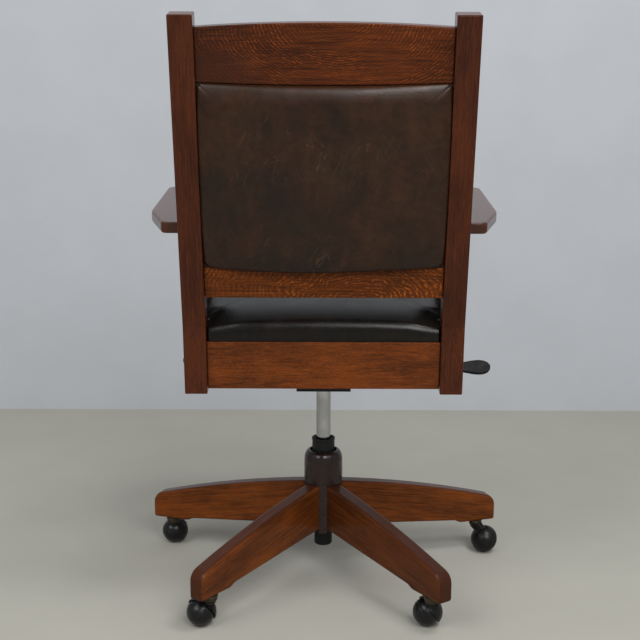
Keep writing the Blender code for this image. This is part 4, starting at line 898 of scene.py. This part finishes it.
@dataclass
class Casters:
    """The five ball casters: hood, horn, wheel and socket."""

    circle: float = 0.3330
    trail: float = 0.0225
    ball: float = 0.0254
    lean: float = math.radians(35)
    foot: float = 0.0655
    foot_gap: float = 0.0003
    plate: float = 0.0022
    washer: float = 0.0006
    cup: float = 0.0138
    hood_in: float = 0.0012
    hood_out: float = 0.0030
    hood_face: float = -0.0045
    neck_drop: float = 0.0060
    neck_back: float = 0.0160
    neck_up: float = 0.0100
    stem_radius: float = 0.0040
    stem_rise: float = 0.0300

    def swivel(self, name: str) -> Matrix:
        """Returns the matrix of a caster's swivel at the floor, turned as in the photograph."""
        angle = DATUM.leg_angle(BEARINGS[name])
        spot = Vector((self.circle * math.cos(angle), self.circle * math.sin(angle), 0.0))
        ahead, aside = TRAILS[name]
        turn = Matrix.Rotation(math.atan2(aside, ahead), 4, "Z")
        return Matrix.Translation(DATUM.column() @ spot) @ turn

    def top(self) -> float:
        """Returns the height of the horn's top, under the socket's plate."""
        return self.foot - self.foot_gap - self.plate - self.washer

    def middle(self) -> Vector:
        """Returns the ball's middle in the swivel's frame."""
        return Vector((self.trail, 0.0, self.ball))

    def axis(self) -> Vector:
        """Returns the axle's direction in the swivel's frame."""
        return Vector((0.0, math.cos(self.lean), -math.sin(self.lean)))

    def hood(self) -> Mesh:
        """Builds the hood and its neck in the swivel's frame and returns them."""
        face, inner, outer = self.hood_face, self.ball + self.hood_in, self.ball + self.hood_out
        start = math.degrees(math.asin(face / outer))
        edge = (math.sqrt(inner ** 2 - face ** 2), face)
        place = toward(self.middle(), self.axis())
        profile = [edge] + arc(outer, start, -86, 18)
        profile += [(0.0035, -outer - 0.0012), (0.0, -outer - 0.0014)]
        mesh = lathe(profile, 56, None, place)
        lathe([edge] + arc(inner, start, -90, 12), 56, mesh, place)
        low = Vector((0.0, 0.0, self.top() - self.neck_drop))
        run = self.middle() - self.axis() * self.neck_back + Vector((0.0, 0.0, self.neck_up)) - low
        wide, slim = self.cup * 0.88, self.cup * 0.72
        neck = [(0.0, 0.0), (wide, 0.0), ((wide + slim) / 2, run.length * 0.4), (slim, run.length),
                (0.0, run.length)]
        return lathe(neck, 32, mesh, toward(low, run))

    def horn(self) -> Mesh:
        """Builds the bronze horn with its two rings and its stem and returns it."""
        top, cup, stem = self.top(), self.cup, self.foot + self.stem_rise
        rings = ((0.0026, 0.0085), (0.0012, 0.0074), (0.0010, 0.0052), (0.0020, 0.0045), (0.0020, 0.0036),
                 (0.0003, 0.0028), (0.0, 0.0021), (0.0, 0.0008), (0.0008, 0.0))
        profile = [(0.0, top - rings[0][1])] + [(cup - back, top - down) for back, down in rings]
        profile += [(self.stem_radius, top), (self.stem_radius, stem), (0.0, stem)]
        return lathe(profile, 48)

    def wheel(self) -> Mesh:
        """Builds the domed wheel in its axle's frame and returns it."""
        radius = self.ball
        profile = [(0.0, -0.0120), (radius * math.cos(math.radians(28)), -0.0120)]
        profile += arc(radius, -26.0, 8.0, 10)
        profile += [(radius * 0.990 - 0.0006, radius * 0.165), (radius * 0.9815, radius * 0.190)]
        profile += arc(radius, 12.0, 78.0, 16)
        profile += [(0.0048, radius * 0.985), (0.0040, radius * 0.978), (0.0, radius * 0.978)]
        return lathe(profile, 64)

    def build(self) -> None:
        """Makes every caster."""
        for name in BEARINGS:
            swivel = self.swivel(name)
            hood = add_piece("hood_" + name, self.hood(), finished(Finish.GUNMETAL), "caster_" + name,
                             swivel)
            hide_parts("caster_hood_" + name)
            add_piece("horn_" + name, self.horn(), finished(Finish.BRASS), "caster_" + name, swivel)
            wheel = add_piece("wheel_" + name, self.wheel(), finished(Finish.WHEEL), "wheel_" + name,
                              swivel @ toward(self.middle(), self.axis()))
            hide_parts("caster_wheel_" + name)
            dress(Finish.BRASS, "caster_socket_" + name)
            log.info("caster %s made", name)


# Half widths of the paddle as shares, at shares of its length from the neck to the tip
PADDLE = ((0.0, 0.58), (0.14, 0.66), (0.30, 0.80), (0.44, 0.93), (0.58, 1.0), (0.70, 1.0),
          (0.82, 0.91), (0.92, 0.68), (0.98, 0.36), (1.0, 0.0))


@dataclass
class Mechanism:
    """The tilt mechanism under the seat, its levers and knobs."""

    lever_tip: float = 0.3240
    lever_z: float = 0.4140
    length: float = 0.0640
    width: float = 0.0290
    thickness: float = 0.0096
    rim: float = 0.35
    dish: float = 0.0005
    facing: float = math.radians(55)
    rows: int = 44
    columns: int = 20
    squashed: float = 0.66

    def outline(self, along: float) -> float:
        """Returns the paddle's half width at a share of its length."""
        for (a, low), (b, high) in zip(PADDLE, PADDLE[1:]):
            if a <= along <= b:
                return self.width / 2 * (low + (high - low) * (along - a) / (b - a))
        return 0.0

    def point(self, i: int, j: int, side: int) -> Triple:
        """Returns a point of the paddle's upper or lower skin, by row and column."""
        along = (1 - math.cos(math.pi * i / self.rows)) / 2
        across = math.sin(math.pi / 2 * (2 * j / self.columns - 1))
        radial = max(abs(across), abs(2 * along - 1) ** 3)
        edge = math.sqrt(max(0.0, 1 - radial ** 6))
        z = self.thickness / 2 * (self.rim + (1 - self.rim) * edge)
        if side > 0:
            sunk = ease(1 - abs(across), 0.12, 0.42) * ease(along, 0.06, 0.24)
            z -= self.dish * sunk * (1 - ease(along, 0.80, 0.95))
        return (self.length * (0.5 - along), across * self.outline(along), side * z)

    def paddle(self) -> Mesh:
        """Builds the moulded paddle with its rim and dish and returns it."""
        made = bmesh.new()
        rows, columns = self.rows, self.columns
        skins = [[[made.verts.new(self.point(i, j, side)) for j in range(columns + 1)]
                  for i in range(rows + 1)] for side in (1, -1)]
        for skin in skins:
            fill_grid(made, skin)
        rim = border(rows, columns)
        upper, lower = skins
        for k, (i, j) in enumerate(rim):
            a, b = rim[(k + 1) % len(rim)]
            made.faces.new((upper[i][j], upper[a][b], lower[a][b], lower[i][j]))
        bmesh.ops.remove_doubles(made, verts=made.verts, dist=1e-6)
        return made

    def spring(self) -> None:
        """Copies the tension spring onto the tilting body, with its own mesh and the zinc finish."""
        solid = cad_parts["tension_spring"]
        piece = add_object("spring", solid.data.copy())
        piece.matrix_world = solid.matrix_world
        piece.data.materials.clear()
        piece.data.materials.append(finished(Finish.ZINC))
        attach(piece, "tilting")
        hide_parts("tension_spring")
        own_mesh(piece)

    def build(self) -> None:
        """Makes the paddle and the spring and dresses the rest."""
        middle = -(self.lever_tip - self.length / 2)
        place = DATUM.column() @ Matrix.Translation((middle, 0.0, self.lever_z))
        place = place @ Matrix.Rotation(-self.facing, 4, "X")
        paddle = add_piece("paddle", self.paddle(), finished(Finish.PLASTIC), "lever", place)
        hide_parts("lever_paddle")
        self.spring()
        dress(Finish.STEEL, "tilt_housing", "seat_plate", "height_lever", "tilt_lock_rod")
        dress(Finish.PLASTIC, "tilt_lock_knob", "tension_knob")
        dress(Finish.ZINC, "tilt_pin", "tension_bolt")
        log.info("mechanism dressed")


# The studio


@dataclass(frozen=True)
class Lamp:
    """A soft square white lamp that faces a point."""

    name: str
    place: Triple
    target: Triple
    size: float
    power: float

    def build(self) -> None:
        """Adds the lamp."""
        lamp = bpy.data.lights.new(self.name, "AREA")
        lamp.shape = "SQUARE"
        lamp.size = self.size
        lamp.energy = self.power
        thing = add_object(self.name, lamp)
        thing.location = self.place
        way = Vector(self.target) - Vector(self.place)
        thing.rotation_euler = way.to_track_quat("-Z", "Y").to_euler()


@dataclass
class Studio:
    """The floor, the backdrop, the lamps and the photograph's camera, as fitted to it."""

    reach: float = 9.0
    wall_y: float = -1.1650
    wall_top: float = 5.0
    floor: Colour = srgb(164, 162, 153)
    wall: Colour = srgb(178, 181, 186)
    air: Colour = (0.84, 0.85, 0.86)
    air_strength: float = 0.53
    pan: float = math.radians(0.2152)
    down: float = math.radians(11.03)
    roll: float = math.radians(0.1336)
    aside: float = 0.0005
    behind: float = 2.072
    eye_height: float = 0.9107
    lens: float = 61.54
    sensor: float = 36.0
    lamps: tuple[Lamp, ...] = (
        Lamp("key", (-1.3, 3.6, 3.4), (0.1, 0.0, 0.5), 2.0, 110.0),
        Lamp("fill", (2.2, 2.4, 3.0), (0.9, 0.5, 0.0), 2.0, 60.0),
        Lamp("top", (-1.1, 1.1, 3.1), (0.2, 0.0, 0.5), 0.8, 36.0))

    def matte(self, name: str, colour: Colour) -> Material:
        """Makes a plain matte finish that is see-through from behind."""
        material, g, shader = start_material(name)
        soft = g.ramp(g.noise(g.node("TexCoord").outputs["Object"], 5.0, 4.0, 0.6), 0.3, 0.7, 0.98, 1.02)
        g.wire(shader, Base_Color=g.shade(colour, soft), Roughness=0.85, Specular_IOR_Level=0.15)
        sources = (g.node("NewGeometry").outputs["Backfacing"], shader.outputs[0],
                   g.node("BsdfTransparent").outputs[0])
        mix = g.node("MixShader")
        for socket, source in zip(mix.inputs, sources):
            g.feed(socket, source)
        g.wire(material.node_tree.nodes["Material Output"], Surface=mix.outputs[0])
        return material

    def plane(self, name: str, corners: Sequence[Sequence[float]], colour: Colour) -> None:
        """Adds a plane of the stage from its corners."""
        data = bpy.data.meshes.new(name)
        data.from_pydata(corners, [], [(0, 1, 2, 3)])
        data.materials.append(self.matte("pale " + name, colour))
        add_object(name, data)

    def camera(self) -> None:
        """Adds the camera at the photograph's place and angle."""
        data = bpy.data.cameras.new("camera")
        data.lens = self.lens
        data.sensor_width = self.sensor
        thing = add_object("camera", data)
        place = (DATUM.column_x - self.aside, DATUM.column_y + self.behind, self.eye_height)
        stand = Matrix.Translation(place)
        for turn, axis in ((math.pi + self.pan, "Z"), (math.pi / 2 - self.down, "X"), (self.roll, "Z")):
            stand = stand @ Matrix.Rotation(turn, 4, axis)
        thing.matrix_world = stand
        bpy.context.scene.camera = thing

    def build(self) -> None:
        """Sets up the stage, the lamps, the world and the camera."""
        far, y, top = self.reach, self.wall_y, self.wall_top
        self.plane("floor", ((-far, -far, 0), (far, -far, 0), (far, far, 0), (-far, far, 0)), self.floor)
        self.plane("wall", ((-far, y, 0), (-far, y, top), (far, y, top), (far, y, 0)), self.wall)
        for lamp in self.lamps:
            lamp.build()
        world = bpy.data.worlds.new("studio")
        bpy.context.scene.world = world
        world.use_nodes = True
        back = world.node_tree.nodes["Background"]
        back.inputs["Color"].default_value = (*self.air, 1.0)
        back.inputs["Strength"].default_value = self.air_strength
        bpy.context.scene.view_settings.view_transform = "Standard"
        self.camera()


def main() -> None:
    """Builds the chair's dress in order."""
    logging.basicConfig(level=logging.INFO, format="%(message)s")
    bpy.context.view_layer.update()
    for part in (Studio(), Joinery(), Upholstery(), Base(), Casters(), Mechanism()):
        part.build()


if __name__ == "__main__":
    main()
